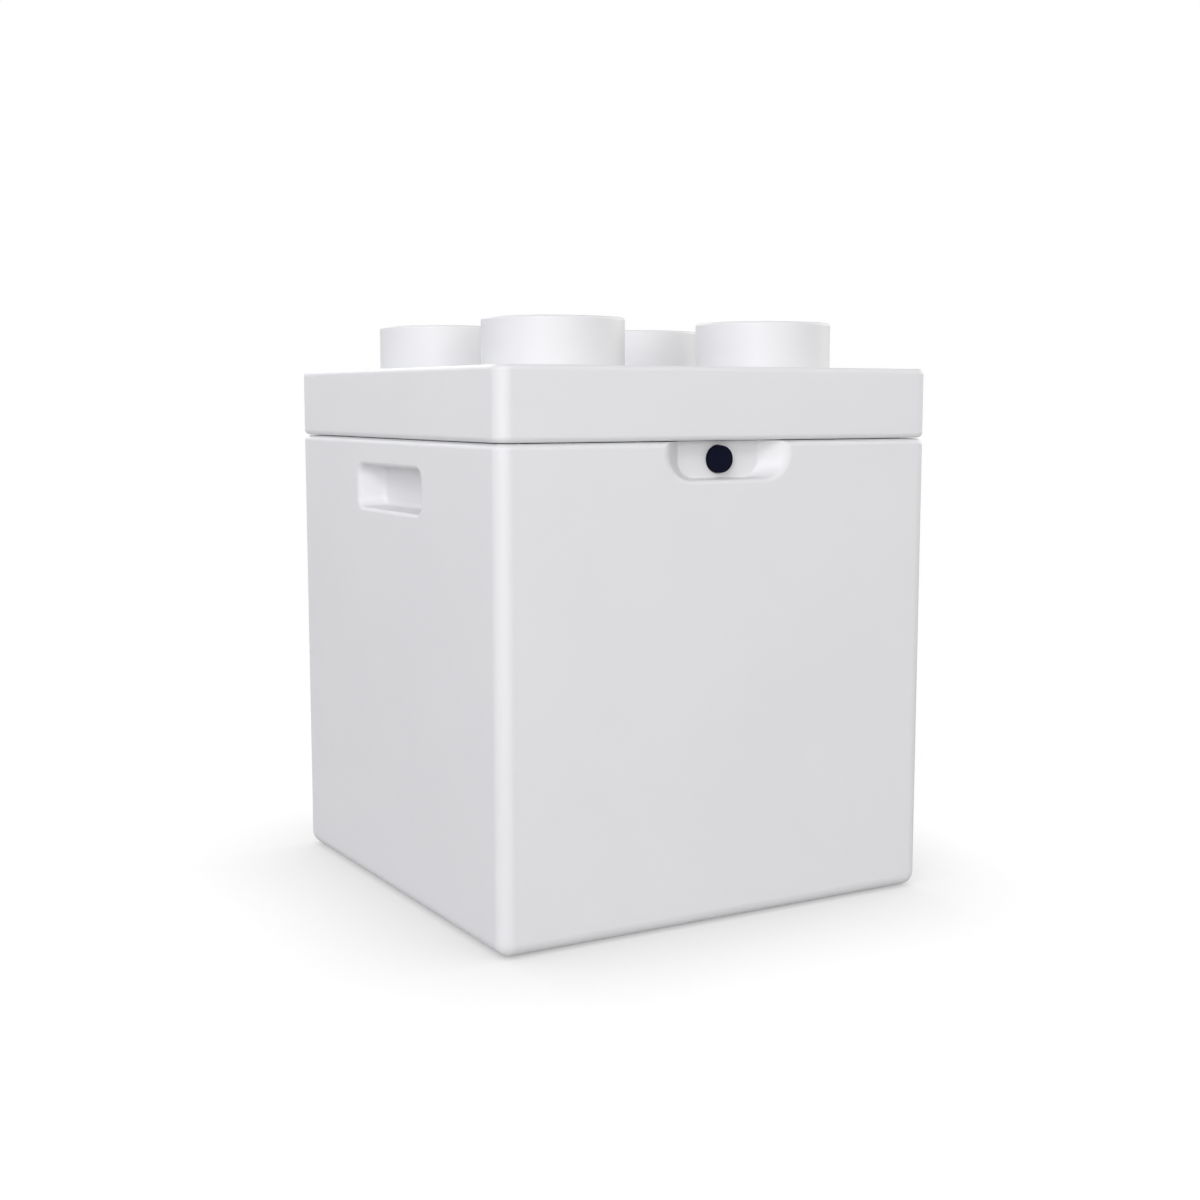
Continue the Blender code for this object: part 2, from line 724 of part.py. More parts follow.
# Hinges


def hinge_leaf(name, middle, up, knuckles, parent):
    """A steel leaf with knuckles, given as (from, to) stretches along the pin."""
    plate_edge = HINGE_BARREL_RADIUS + RUNNING_GAP
    plate_depth = LEAF_WIDTH - plate_edge
    leaf_middle = SEAM_HEIGHT + up * (SEAT_GAP + LEAF_THICKNESS) / 2
    leaf = block(name, (HINGE_LENGTH, plate_depth, LEAF_THICKNESS))
    place(leaf, (middle, HINGE_AXIS_Y - plate_edge - plate_depth / 2, leaf_middle), parent)
    tab_end = (HINGE_BARREL_RADIUS + HINGE_PIN_RADIUS + SEAT_GAP) / 2
    tab_depth = plate_edge - tab_end + RUNNING_GAP
    for number, (start, end) in enumerate(knuckles, 1):
        tab = block(f"{name}_tab_{number}", (end - start, tab_depth, LEAF_THICKNESS))
        tab_y = HINGE_AXIS_Y - tab_end - tab_depth / 2
        place(tab, (middle + (start + end) / 2, tab_y, leaf_middle), parent)
        barrel = turned_ring(
            f"{name}_barrel_{number}",
            [
                (HINGE_PIN_RADIUS + SEAT_GAP, start),
                (HINGE_BARREL_RADIUS, start),
                (HINGE_BARREL_RADIUS, end),
                (HINGE_PIN_RADIUS + SEAT_GAP, end),
            ],
            ROUND_STEPS,
        )
        place(barrel, (middle, HINGE_AXIS_Y, SEAM_HEIGHT), parent, ALONG_X)
        join(leaf, tab, barrel)
    face = SEAM_HEIGHT + up * SEAT_GAP / 2
    turn = UPSIDE_DOWN if up > 0 else UPRIGHT
    for number, (x, y) in enumerate(leaf_screw_places(middle), 1):
        hole = flat_screw_hole(f"{name}_hole_{number}", LEAF_THICKNESS + CUT_OVERRUN)
        place(hole, (x, y, face), parent, turn)
        cut(leaf, hole)
        screw = flat_screw(name.replace("leaf", "screw") + f"_{number}", HINGE_SCREW_LENGTH)
        place(screw, (x, y, face), parent, turn)
    give_finish(leaf, ZINC_STEEL)


def hinges(body, lid):
    """Two hinges: the body's leaf has the outer knuckles, the lid's leaf the middle one."""
    half = HINGE_LENGTH / 2
    inner = half - HINGE_KNUCKLE_LENGTH
    for side, sign in SIDES.items():
        middle = sign * HINGE_MIDDLE
        outer_knuckles = [(-half, -inner), (inner, half)]
        middle_knuckle = [(RUNNING_GAP - inner, inner - RUNNING_GAP)]
        hinge_leaf(f"hinge_body_leaf_{side}", middle, -1, outer_knuckles, body)
        hinge_leaf(f"hinge_lid_leaf_{side}", middle, 1, middle_knuckle, lid)
        reach = half + SEAT_GAP
        head = reach + HINGE_PIN_HEAD_LENGTH
        profile = [
            (0, -head),
            (HINGE_PIN_HEAD_RADIUS, -head),
            (HINGE_PIN_HEAD_RADIUS, -reach),
            (HINGE_PIN_RADIUS, -reach),
            (HINGE_PIN_RADIUS, reach),
            (HINGE_PIN_HEAD_RADIUS, reach),
            (HINGE_PIN_HEAD_RADIUS, head),
            (0, head),
        ]
        pin = turned(f"hinge_pin_{side}", profile)
        place(pin, (middle, HINGE_AXIS_Y, SEAM_HEIGHT), body, ALONG_X)
        give_finish(pin, SPRING_STEEL)


# Lid


def lid_posts():
    """Name, X and Y of each post that the liner is screwed to."""
    for end, way in (("front", -1), ("middle", 0), ("back", 1)):
        for side, sign in SIDES.items():
            x = sign * (BOX_WIDTH / 2 - POST_INSET)
            y = way * (BOX_DEPTH / 2 - POST_INSET)
            yield f"{end}_{side}", x, y


def lid_room(parent):
    """The lid's hollow, less the posts and hinge bosses that stand in it."""
    roof = LID_HEIGHT - LID_WALL
    fillet = max(LID_EDGE_RADIUS - LID_WALL, LEAST_INNER_RADIUS)
    levels = [(LID_RIM_WIDTH, -CUT_OVERRUN), (LID_RIM_WIDTH, LID_RIM_HEIGHT)]
    levels.append((LID_WALL, LID_RIM_HEIGHT + LID_RIM_WIDTH - LID_WALL))
    levels += [(LID_WALL + inset, height) for inset, height in reversed(convex_round(fillet, 1, roof))]
    room = upright_loft("lid_room", levels, BOX_WIDTH, BOX_DEPTH, CORNER_RADIUS)
    place(room, (0, 0, LID_BOTTOM), parent)
    for name, x, y in lid_posts():
        post = cylinder(f"post_{name}", POST_RADIUS, LINER_THICKNESS + SEAT_GAP, LID_HEIGHT)
        place(post, (x, y, LID_BOTTOM), parent)
        cut(room, post)
    for side, sign in SIDES.items():
        boss = hinge_boss(f"lid_hinge_boss_{side}", sign, LID_BOTTOM, 1)
        place(boss, (0, 0, 0), parent)
        cut(room, boss)
    return room


def stud(name):
    """The outer form of one stud, with a rounded top edge."""
    profile = [(0, LID_HEIGHT - LID_WALL / 2), (STUD_RADIUS, LID_HEIGHT - LID_WALL / 2)]
    top = LID_HEIGHT + STUD_HEIGHT
    rounding = convex_round(STUD_EDGE_RADIUS, 1, top)
    profile += [(STUD_RADIUS - inset, height) for inset, height in reversed(rounding)]
    profile.append((0, top))
    return turned(name, profile, STUD_STEPS)


def bumper_places():
    """Name, X, Y and quarter turns of each bumper on the lid's rim."""
    rim = LID_RIM_WIDTH - BUMPER_INNER_WALL - BUMPER_WIDTH / 2
    for side, sign in SIDES.items():
        yield f"front_{side}", sign * (BOX_WIDTH / 2 - BUMPER_FROM_SIDE), FRONT_FACE + rim, 0
        yield f"side_{side}", sign * (BOX_WIDTH / 2 - rim), BACK_FACE - BUMPER_FROM_BACK, 1


def lid_shell(parent):
    """The moulded lid with its hollow studs, posts and hinge bosses."""
    size = (BOX_WIDTH, BOX_DEPTH, LID_HEIGHT)
    shell = rounded_block("lid_shell", size, CORNER_RADIUS, SEAM_EDGE_RADIUS, LID_EDGE_RADIUS)
    place(shell, (0, 0, LID_BOTTOM), parent)
    hollows = [lid_room(parent)]
    for end, way in ENDS.items():
        for side, sign in SIDES.items():
            centre = (sign * STUD_SPACING / 2, way * STUD_SPACING / 2, LID_BOTTOM)
            outer = stud(f"stud_{end}_{side}")
            place(outer, centre, parent)
            join(shell, outer)
            low = LID_HEIGHT - LID_WALL - CUT_OVERRUN
            high = LID_HEIGHT + STUD_HEIGHT - LID_WALL
            hollow = cylinder(f"stud_hollow_{end}_{side}", STUD_RADIUS - LID_WALL, low, high, STUD_STEPS)
            place(hollow, centre, parent)
            hollows.append(hollow)
    for name, x, y in lid_posts():
        hole = cylinder(f"post_hole_{name}", SCREW_HOLE_RADIUS, -CUT_OVERRUN, LINER_SCREW_LENGTH + SEAT_GAP)
        place(hole, (x, y, LID_BOTTOM), parent)
        hollows.append(hole)
    room = 2 * SEAT_GAP
    size = (BUMPER_LENGTH + room, BUMPER_WIDTH + room, BUMPER_SOCKET_DEPTH + CUT_OVERRUN)
    for name, x, y, quarters in bumper_places():
        socket = block(f"bumper_socket_{name}", size)
        middle = LID_BOTTOM + (BUMPER_SOCKET_DEPTH - CUT_OVERRUN) / 2
        place(socket, (x, y, middle), parent, (0, 0, quarters * math.pi / 2))
        hollows.append(socket)
    hollows += hinge_cutters("lid", parent, 1)
    cut(shell, *hollows)
    give_finish(shell, WHITE_PLASTIC)


def bumpers(parent):
    """Rubber strips set in the lid's rim, which rest on the body's rim."""
    low = BODY_TOP + SEAT_GAP
    high = LID_BOTTOM + BUMPER_SOCKET_DEPTH - SEAT_GAP
    for name, x, y, quarters in bumper_places():
        bumper = block(f"bumper_{name}", (BUMPER_LENGTH, BUMPER_WIDTH, high - low))
        place(bumper, (x, y, (low + high) / 2), parent, (0, 0, quarters * math.pi / 2))
        give_finish(bumper, GREY_RUBBER)


def lid_liner(parent):
    """The panel that closes the lid's underside."""
    edge = LID_RIM_WIDTH + SEAT_GAP
    levels = [(edge, 0), (edge, LINER_THICKNESS)]
    liner = upright_loft("lid_liner", levels, BOX_WIDTH, BOX_DEPTH, CORNER_RADIUS)
    place(liner, (0, 0, LID_BOTTOM), parent)
    pad_width = KEEPER_PLATE_WIDTH + 2 * KEEPER_PAD_MARGIN
    pad = block("keeper_pad", (pad_width, KEEPER_PLATE_DEPTH, KEEPER_PAD_HEIGHT + LINER_THICKNESS / 2))
    pad_middle = LID_BOTTOM + (LINER_THICKNESS * 3 / 2 + KEEPER_PAD_HEIGHT) / 2
    place(pad, (0, KEEPER_FRONT + KEEPER_PLATE_DEPTH / 2, pad_middle), parent)
    join(liner, pad)
    for side, sign in SIDES.items():
        width = HINGE_LENGTH + 2 * (HINGE_BOSS_MARGIN + SEAT_GAP)
        depth = LEAF_WIDTH + HINGE_BOSS_MARGIN + SEAT_GAP
        notch = block(f"liner_notch_{side}", (width, depth, 2 * (LINER_THICKNESS + CUT_OVERRUN)))
        place(notch, (sign * HINGE_MIDDLE, HINGE_AXIS_Y - depth / 2, LID_BOTTOM), parent)
        cut(liner, notch)
    for name, x, y in lid_posts():
        hole = flat_screw_hole(f"liner_hole_{name}", LINER_THICKNESS + CUT_OVERRUN)
        place(hole, (x, y, LID_BOTTOM), parent, UPSIDE_DOWN)
        cut(liner, hole)
        screw = flat_screw(f"liner_screw_{name}", LINER_SCREW_LENGTH)
        place(screw, (x, y, LID_BOTTOM), parent, UPSIDE_DOWN)
    for name, x, y in keeper_screw_places():
        hole = cylinder(f"keeper_pad_hole_{name}", SCREW_HOLE_RADIUS, -CUT_OVERRUN, KEEPER_SCREW_LENGTH)
        place(hole, (x, y, LID_BOTTOM), parent)
        cut(liner, hole)
    give_finish(liner, LINER_PLASTIC)


def guide_strips(parent):
    """Rubber strips under the liner that centre the lid inside the body's rim."""
    edge = BODY_RIM_WIDTH + GUIDE_CLEARANCE + GUIDE_WIDTH / 2
    top = LID_BOTTOM - SEAT_GAP
    bottom = top - GUIDE_HEIGHT
    side_front = FRONT_FACE + GUIDE_CORNER_GAP
    side_back = BACK_FACE - GUIDE_BACK_GAP
    front_near = RECESS_MOUTH_WIDTH / 2 + GUIDE_RECESS_GAP
    front_far = BOX_WIDTH / 2 - GUIDE_CORNER_GAP
    side_size = (GUIDE_WIDTH, side_back - side_front, GUIDE_HEIGHT)
    front_size = (front_far - front_near, GUIDE_WIDTH, GUIDE_HEIGHT)
    for side, sign in SIDES.items():
        strip = guide_strip(f"guide_strip_side_{side}", side_size)
        place(strip, (sign * (BOX_WIDTH / 2 - edge), (side_front + side_back) / 2, bottom), parent)
        strip = guide_strip(f"guide_strip_front_{side}", front_size)
        place(strip, (sign * (front_near + front_far) / 2, FRONT_FACE + edge, bottom), parent)


def guide_strip(name, size):
    """One rubber strip with rounded ends and a rounded lower edge, on its origin."""
    strip = rounded_block(name, size, GUIDE_WIDTH / 3, GUIDE_WIDTH / 4, 0)
    give_finish(strip, GREY_RUBBER)
    return strip


# Magnetic catch


def keeper_screw_places():
    """Name, X and Y of the keeper's two screws."""
    y = KEEPER_FRONT + (KEEPER_PLATE_DEPTH + KEEPER_THICKNESS) / 2
    for side, sign in SIDES.items():
        yield side, sign * KEEPER_SCREW_SPACING / 2, y


def keeper(parent):
    """A folded steel plate under the liner, with two legs that the magnets hold."""
    top = LID_BOTTOM - SEAT_GAP
    plate = block("keeper", (KEEPER_PLATE_WIDTH, KEEPER_PLATE_DEPTH, KEEPER_THICKNESS))
    place(plate, (0, KEEPER_FRONT + KEEPER_PLATE_DEPTH / 2, top - KEEPER_THICKNESS / 2), parent)
    for side, sign in SIDES.items():
        leg_height = KEEPER_LEG_REACH + KEEPER_THICKNESS / 2
        leg = block(f"keeper_leg_{side}", (KEEPER_LEG_WIDTH, KEEPER_THICKNESS, leg_height))
        middle = top - KEEPER_THICKNESS / 2 - leg_height / 2
        place(leg, (sign * KEEPER_LEG_OFFSET, KEEPER_FRONT + KEEPER_THICKNESS / 2, middle), parent)
        join(plate, leg)
    for name, x, y in keeper_screw_places():
        hole = flat_screw_hole(f"keeper_hole_{name}", KEEPER_THICKNESS + CUT_OVERRUN)
        place(hole, (x, y, top - KEEPER_THICKNESS), parent, UPSIDE_DOWN)
        cut(plate, hole)
        screw = flat_screw(f"keeper_screw_{name}", KEEPER_SCREW_LENGTH)
        place(screw, (x, y, top - KEEPER_THICKNESS), parent, UPSIDE_DOWN)
    give_finish(plate, ZINC_STEEL)


def latch_housing(parent):
    """An open-fronted tray behind the recess that guides the slider."""
    inner_width = SLIDER_WIDTH + 2 * RUNNING_GAP
    inner_height = SLIDER_HEIGHT + 2 * RUNNING_GAP
    front = LATCH_SEAT + SEAT_GAP
    depth = HOUSING_BACK_INSIDE + HOUSING_WALL - front
    size = (inner_width + 2 * HOUSING_WALL, depth, inner_height + 2 * HOUSING_WALL)
    housing = block("latch_housing", size)
    place(housing, (0, front + depth / 2, SLIDER_HEIGHT_MIDDLE), parent)
    ear_width = 2 * LATCH_SCREW_OFFSET + HOUSING_EAR_WIDTH / 2
    ears = block("housing_ears", (ear_width, HOUSING_WALL, HOUSING_EAR_HEIGHT))
    place(ears, (0, front + HOUSING_WALL / 2, SLIDER_HEIGHT_MIDDLE), parent)
    join(housing, ears)
    room_depth = HOUSING_BACK_INSIDE - front + CUT_OVERRUN
    room = block("housing_room", (inner_width, room_depth, inner_height))
    place(room, (0, HOUSING_BACK_INSIDE - room_depth / 2, SLIDER_HEIGHT_MIDDLE), parent)
    mouth_depth = SLIDER_FRONT - RUNNING_GAP - front + CUT_OVERRUN
    mouth = block("keeper_mouth", (inner_width, mouth_depth, inner_height))
    mouth_y = SLIDER_FRONT - RUNNING_GAP - mouth_depth / 2
    place(mouth, (0, mouth_y, SLIDER_HEIGHT_MIDDLE + inner_height / 2), parent)
    collar_width = 2 * (BUTTON_RADIUS + BUTTON_FLANGE_WIDTH + RUNNING_GAP)
    collar_end = LATCH_WALL + SEAT_GAP + BUTTON_FLANGE_THICKNESS + BUTTON_TRAVEL + RUNNING_GAP
    slot_depth = collar_end - front + CUT_OVERRUN
    slot = block("collar_slot", (collar_width, slot_depth, inner_height))
    place(slot, (0, collar_end - slot_depth / 2, SLIDER_HEIGHT_MIDDLE + inner_height / 2), parent)
    cut(housing, room, mouth, slot)
    for side, sign in SIDES.items():
        post = cylinder(f"spring_post_{side}", SPRING_POST_RADIUS, -HOUSING_WALL / 2, SPRING_POST_LENGTH)
        spot = (sign * SPRING_OFFSET, HOUSING_BACK_INSIDE, SLIDER_HEIGHT_MIDDLE)
        place(post, spot, parent, TO_FRONT)
        join(housing, post)
        spot = (sign * LATCH_SCREW_OFFSET, front + HOUSING_WALL, SLIDER_HEIGHT_MIDDLE)
        hole = cylinder(f"ear_hole_{side}", SCREW_HOLE_RADIUS, -HOUSING_WALL - CUT_OVERRUN, CUT_OVERRUN)
        place(hole, spot, parent, TO_BACK)
        cut(housing, hole)
        screw = pan_screw(f"latch_screw_{side}", LATCH_SCREW_LENGTH)
        seat = (spot[0], spot[1] + SEAT_GAP, spot[2])
        place(screw, seat, parent, TO_BACK)
    give_finish(housing, GREY_PLASTIC)


def latch_springs(parent):
    """Two coil springs between the slider and the housing's back."""
    start = SLIDER_BACK - SPRING_SEAT_DEPTH + SEAT_GAP + SPRING_WIRE_RADIUS
    end = HOUSING_BACK_INSIDE - SEAT_GAP - SPRING_WIRE_RADIUS
    count = SPRING_TURNS * SPRING_STEPS
    for side, sign in SIDES.items():
        curve = bpy.data.curves.new(f"latch_spring_{side}", "CURVE")
        curve.dimensions = "3D"
        curve.bevel_depth = SPRING_WIRE_RADIUS
        curve.bevel_resolution = 0
        curve.use_fill_caps = True
        line = curve.splines.new("POLY")
        line.points.add(count)
        for i, point in enumerate(line.points):
            angle = math.tau * i / SPRING_STEPS
            across = SPRING_RADIUS * math.cos(angle)
            up = SPRING_RADIUS * math.sin(angle)
            point.co = (across, (end - start) * i / count, up, 1)
        spring = bpy.data.objects.new(f"latch_spring_{side}", curve)
        bpy.context.scene.collection.objects.link(spring)
        place(spring, (sign * SPRING_OFFSET, start, SLIDER_HEIGHT_MIDDLE), parent)
        give_finish(spring, SPRING_STEEL)


def release_button(parent):
    """The flat round cap that shows in the recess, with its inner collar and stem."""
    front = RECESS_BACK - BUTTON_STANDS_PROUD
    collar = LATCH_WALL + SEAT_GAP
    length = SLIDER_FRONT - SEAT_GAP - front
    wide = BUTTON_RADIUS + BUTTON_FLANGE_WIDTH
    rounding = convex_round(BUTTON_EDGE_RADIUS, 1, 0)
    edge = [(BUTTON_RADIUS - inset, height) for inset, height in rounding]
    collar_front = front - collar
    collar_back = collar_front - BUTTON_FLANGE_THICKNESS
    profile = [(0, 0)] + edge
    profile += [(BUTTON_RADIUS, collar_front), (wide, collar_front), (wide, collar_back)]
    profile += [(BUTTON_STEM_RADIUS, collar_back), (BUTTON_STEM_RADIUS, -length)]
    bore_end = BUTTON_SCREW_LENGTH - SLIDER_THICKNESS - length
    profile += [(SCREW_HOLE_RADIUS, -length), (SCREW_HOLE_RADIUS, bore_end), (0, bore_end)]
    button = turned("release_button", profile, ROUND_STEPS)
    place(button, (0, front, BUTTON_HEIGHT), parent, TO_FRONT)
    give_finish(button, BLACK_PLASTIC)


def latch_slider(parent):
    """The plate behind the button, with pockets for the magnets and the springs."""
    slider = block("latch_slider", (SLIDER_WIDTH, SLIDER_THICKNESS, SLIDER_HEIGHT))
    place(slider, (0, SLIDER_FRONT + SLIDER_THICKNESS / 2, SLIDER_HEIGHT_MIDDLE), parent)
    for side, sign in SIDES.items():
        magnet_depth = MAGNET_LENGTH - MAGNET_STANDS_PROUD + SEAT_GAP
        pocket_radius = MAGNET_RADIUS + SEAT_GAP
        pocket = cylinder(f"magnet_pocket_{side}", pocket_radius, -magnet_depth, CUT_OVERRUN, ROUND_STEPS)
        spot = (sign * KEEPER_LEG_OFFSET, SLIDER_FRONT, SLIDER_HEIGHT_MIDDLE)
        place(pocket, spot, parent, TO_FRONT)
        seat_radius = SPRING_RADIUS + SPRING_WIRE_RADIUS + RUNNING_GAP
        seat = cylinder(f"spring_seat_{side}", seat_radius, -SPRING_SEAT_DEPTH, CUT_OVERRUN)
        place(seat, (sign * SPRING_OFFSET, SLIDER_BACK, SLIDER_HEIGHT_MIDDLE), parent, TO_BACK)
        cut(slider, pocket, seat)
        magnet = cylinder(f"latch_magnet_{side}", MAGNET_RADIUS, -MAGNET_LENGTH, 0, ROUND_STEPS)
        place(magnet, (spot[0], MAGNET_FRONT, spot[2]), parent, TO_FRONT)
        give_finish(magnet, NICKEL)
    hole = cylinder("slider_hole", SCREW_HOLE_RADIUS, -SLIDER_THICKNESS - CUT_OVERRUN, CUT_OVERRUN)
    place(hole, (0, SLIDER_BACK, BUTTON_HEIGHT), parent, TO_BACK)
    cut(slider, hole)
    give_finish(slider, GREY_PLASTIC)
    screw = pan_screw("button_screw", BUTTON_SCREW_LENGTH)
    place(screw, (0, SLIDER_BACK + SEAT_GAP, BUTTON_HEIGHT), parent, TO_BACK)


def main():
    """Builds the whole box."""
    clear_scene()
    body = new_empty("body_group", (0, 0, 0))
    lid = new_empty("lid_hinge_axis", (0, HINGE_AXIS_Y, SEAM_HEIGHT))
    button = new_empty("button_slide_axis", (0, RECESS_BACK, BUTTON_HEIGHT))
    body_shell(body)
    feet(body)
    latch_housing(body)
    latch_springs(body)
    hinges(body, lid)
    lid_shell(lid)
    lid_liner(lid)
    guide_strips(lid)
    bumpers(lid)
    keeper(lid)
    release_button(button)
    latch_slider(button)


if __name__ == "__main__":
    main()
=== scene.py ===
"""Looks of a square toy box: its mouldings, hinges, magnetic catch and studio.

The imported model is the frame. Every piece is modelled in its place, in metres,
with X to the right, the front facing -Y and Z up.
"""

import logging
import math
from collections.abc import Iterable, Sequence
from dataclasses import dataclass
from enum import Enum
from functools import cache

import bmesh
import bpy
from bmesh.types import BMEdge, BMesh, BMFace, BMVert
from mathutils import Matrix, Vector


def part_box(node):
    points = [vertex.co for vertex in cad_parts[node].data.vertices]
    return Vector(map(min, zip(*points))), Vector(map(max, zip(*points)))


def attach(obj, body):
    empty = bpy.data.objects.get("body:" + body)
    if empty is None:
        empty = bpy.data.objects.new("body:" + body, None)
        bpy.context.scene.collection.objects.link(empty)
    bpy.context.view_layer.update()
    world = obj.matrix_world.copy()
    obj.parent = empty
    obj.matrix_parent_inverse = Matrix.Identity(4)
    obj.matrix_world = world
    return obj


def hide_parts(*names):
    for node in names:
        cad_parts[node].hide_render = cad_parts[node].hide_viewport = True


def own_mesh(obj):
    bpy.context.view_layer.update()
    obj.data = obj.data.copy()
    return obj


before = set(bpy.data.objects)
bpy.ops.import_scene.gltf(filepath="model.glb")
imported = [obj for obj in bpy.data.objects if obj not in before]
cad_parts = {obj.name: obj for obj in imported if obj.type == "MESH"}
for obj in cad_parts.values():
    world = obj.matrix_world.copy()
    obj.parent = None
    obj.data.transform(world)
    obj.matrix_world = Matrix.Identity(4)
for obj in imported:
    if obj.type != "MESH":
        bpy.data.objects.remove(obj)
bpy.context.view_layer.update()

logging.basicConfig(level=logging.INFO, format="%(message)s")
log = logging.getLogger("toy_box")

PHOTO_SIDE = 1200
SIDES = {"left": -1, "right": 1}
ENDS = {"front": -1, "back": 1}
ARC_STEPS = 8
SMALL_ARC_STEPS = 4
ROUND_STEPS = 48
SMALL_ROUND_STEPS = 32
CUT_OVERRUN = 0.002
LEAST_CORNER = 0.0015
SMOOTH_ANGLE = 32
SOFTEN_ANGLE = 50
HAIR = 0.00002


class Body(Enum):
    """The CAD bodies that pieces ride on."""

    BOX = "box"
    LID = "lid"
    BUTTON = "latch_button"


class Slot(Enum):
    """The record's material slots."""

    WHITE_PLASTIC = "white_plastic"
    LINER_PLASTIC = "liner_plastic"
    GREY_PLASTIC = "grey_plastic"
    BLACK_PLASTIC = "black_plastic"
    GREY_RUBBER = "grey_rubber"
    ZINC_STEEL = "zinc_steel"
    SPRING_STEEL = "spring_steel"
    NICKEL = "nickel"


class Head(Enum):
    """The kinds of screw head."""

    FLAT = "flat"
    PAN = "pan"


class Solver(Enum):
    """How a Boolean works out a shape."""

    EXACT = "EXACT"
    MANIFOLD = "MANIFOLD"


class Operation(Enum):
    """What a Boolean does with the other shape."""

    CUT = "DIFFERENCE"
    JOIN = "UNION"


# Materials


def linear(code: str) -> tuple[float, float, float, float]:
    """Turns an sRGB hex colour into linear RGBA.

    Args:
        code: The colour as "#RRGGBB".

    Returns:
        Linear red, green, blue and an alpha of 1.
    """
    channels = [int(code[i : i + 2], 16) / 255 for i in (1, 3, 5)]
    straight = [c / 12.92 if c <= 0.04045 else ((c + 0.055) / 1.055) ** 2.4 for c in channels]
    return (*straight, 1.0)


def add_node(
    tree: bpy.types.NodeTree, kind: str, settings: dict | None = None, links: dict | None = None
) -> bpy.types.Node:
    """Adds a shader node with its settings and links.

    Args:
        tree: The node tree.
        kind: The node's type, without its ShaderNode prefix.
        settings: Attributes, or input names or numbers, with their values.
        links: Input names or numbers with what feeds them: an output socket,
            or a node for its first output.

    Returns:
        The new node.
    """
    node = tree.nodes.new(f"ShaderNode{kind}")
    for key, value in (settings or {}).items():
        if isinstance(key, str) and hasattr(node, key):
            setattr(node, key, value)
        else:
            node.inputs[key].default_value = value
    for key, source in (links or {}).items():
        socket = source.outputs[0] if isinstance(source, bpy.types.Node) else source
        tree.links.new(socket, node.inputs[key])
    return node


def new_material(name: str) -> bpy.types.Material:
    """Makes a node material with no nodes yet.

    Args:
        name: Its name.

    Returns:
        The material.
    """
    material = bpy.data.materials.new(name)
    material.use_nodes = True
    material.node_tree.nodes.clear()
    return material


@dataclass(frozen=True)
class Pattern:
    """A noise over a surface: the size of its patches, its detail and its stretch."""

    size: float
    detail: float = 2.0
    stretch: tuple[float, float, float] = (1, 1, 1)


@dataclass(frozen=True)
class Finish:
    """A surface in two close tones, with a fine grain and a gloss that varies over it.

    Its roughness runs between two values with the gloss pattern. With no such
    pattern it is even, and stands among the shader's own settings.
    """

    name: str
    tones: tuple[str, str]
    patches: Pattern
    grain: Pattern
    grain_depth: float
    shader: dict[str, float]
    gloss: Pattern | None = None
    roughness: tuple[float, float] = (0.5, 0.5)

    def build(self) -> bpy.types.Material:
        """Makes the node material.

        Returns:
            The material.
        """
        material = new_material(self.name)
        tree = material.node_tree
        place = add_node(tree, "TexCoord").outputs["Object"]
        noises = {}
        for pattern in (self.patches, self.grain, self.gloss):
            if pattern and pattern not in noises:
                stretched = add_node(tree, "Mapping", {"Scale": pattern.stretch}, {"Vector": place})
                settings = {"Scale": 1 / pattern.size, "Detail": pattern.detail}
                noises[pattern] = add_node(tree, "TexNoise", settings, {"Vector": stretched})
        colours = {6: linear(self.tones[0]), 7: linear(self.tones[1])}
        tone = add_node(tree, "Mix", {"data_type": "RGBA", **colours}, {0: noises[self.patches]})
        relief = {"Strength": 1.0, "Distance": self.grain_depth}
        bump = add_node(tree, "Bump", relief, {"Height": noises[self.grain]})
        links = {"Base Color": tone.outputs[2], "Normal": bump}
        if self.gloss:
            low, high = self.roughness
            spread = {"From Min": 0.3, "From Max": 0.7, "To Min": low, "To Max": high}
            links["Roughness"] = add_node(tree, "MapRange", spread, {"Value": noises[self.gloss]})
        shader = add_node(tree, "BsdfPrincipled", self.shader, links)
        add_node(tree, "OutputMaterial", links={"Surface": shader})
        return material


# The melt's flow leaves a very faint change of tone, and hands a slight change of gloss
FLOW = Pattern(0.090)
HANDLING = Pattern(0.015, 3.0)
# A plated coat lies in small patches, over the crystals or drawing marks of the steel
PLATING = Pattern(1 / 180)
ZINC_CRYSTALS = Pattern(0.0012, 3.0)
DRAWING_MARKS = Pattern(0.0004, 3.0, (0.1, 1, 1))
NICKEL_CRYSTALS = Pattern(0.0020, 3.0)

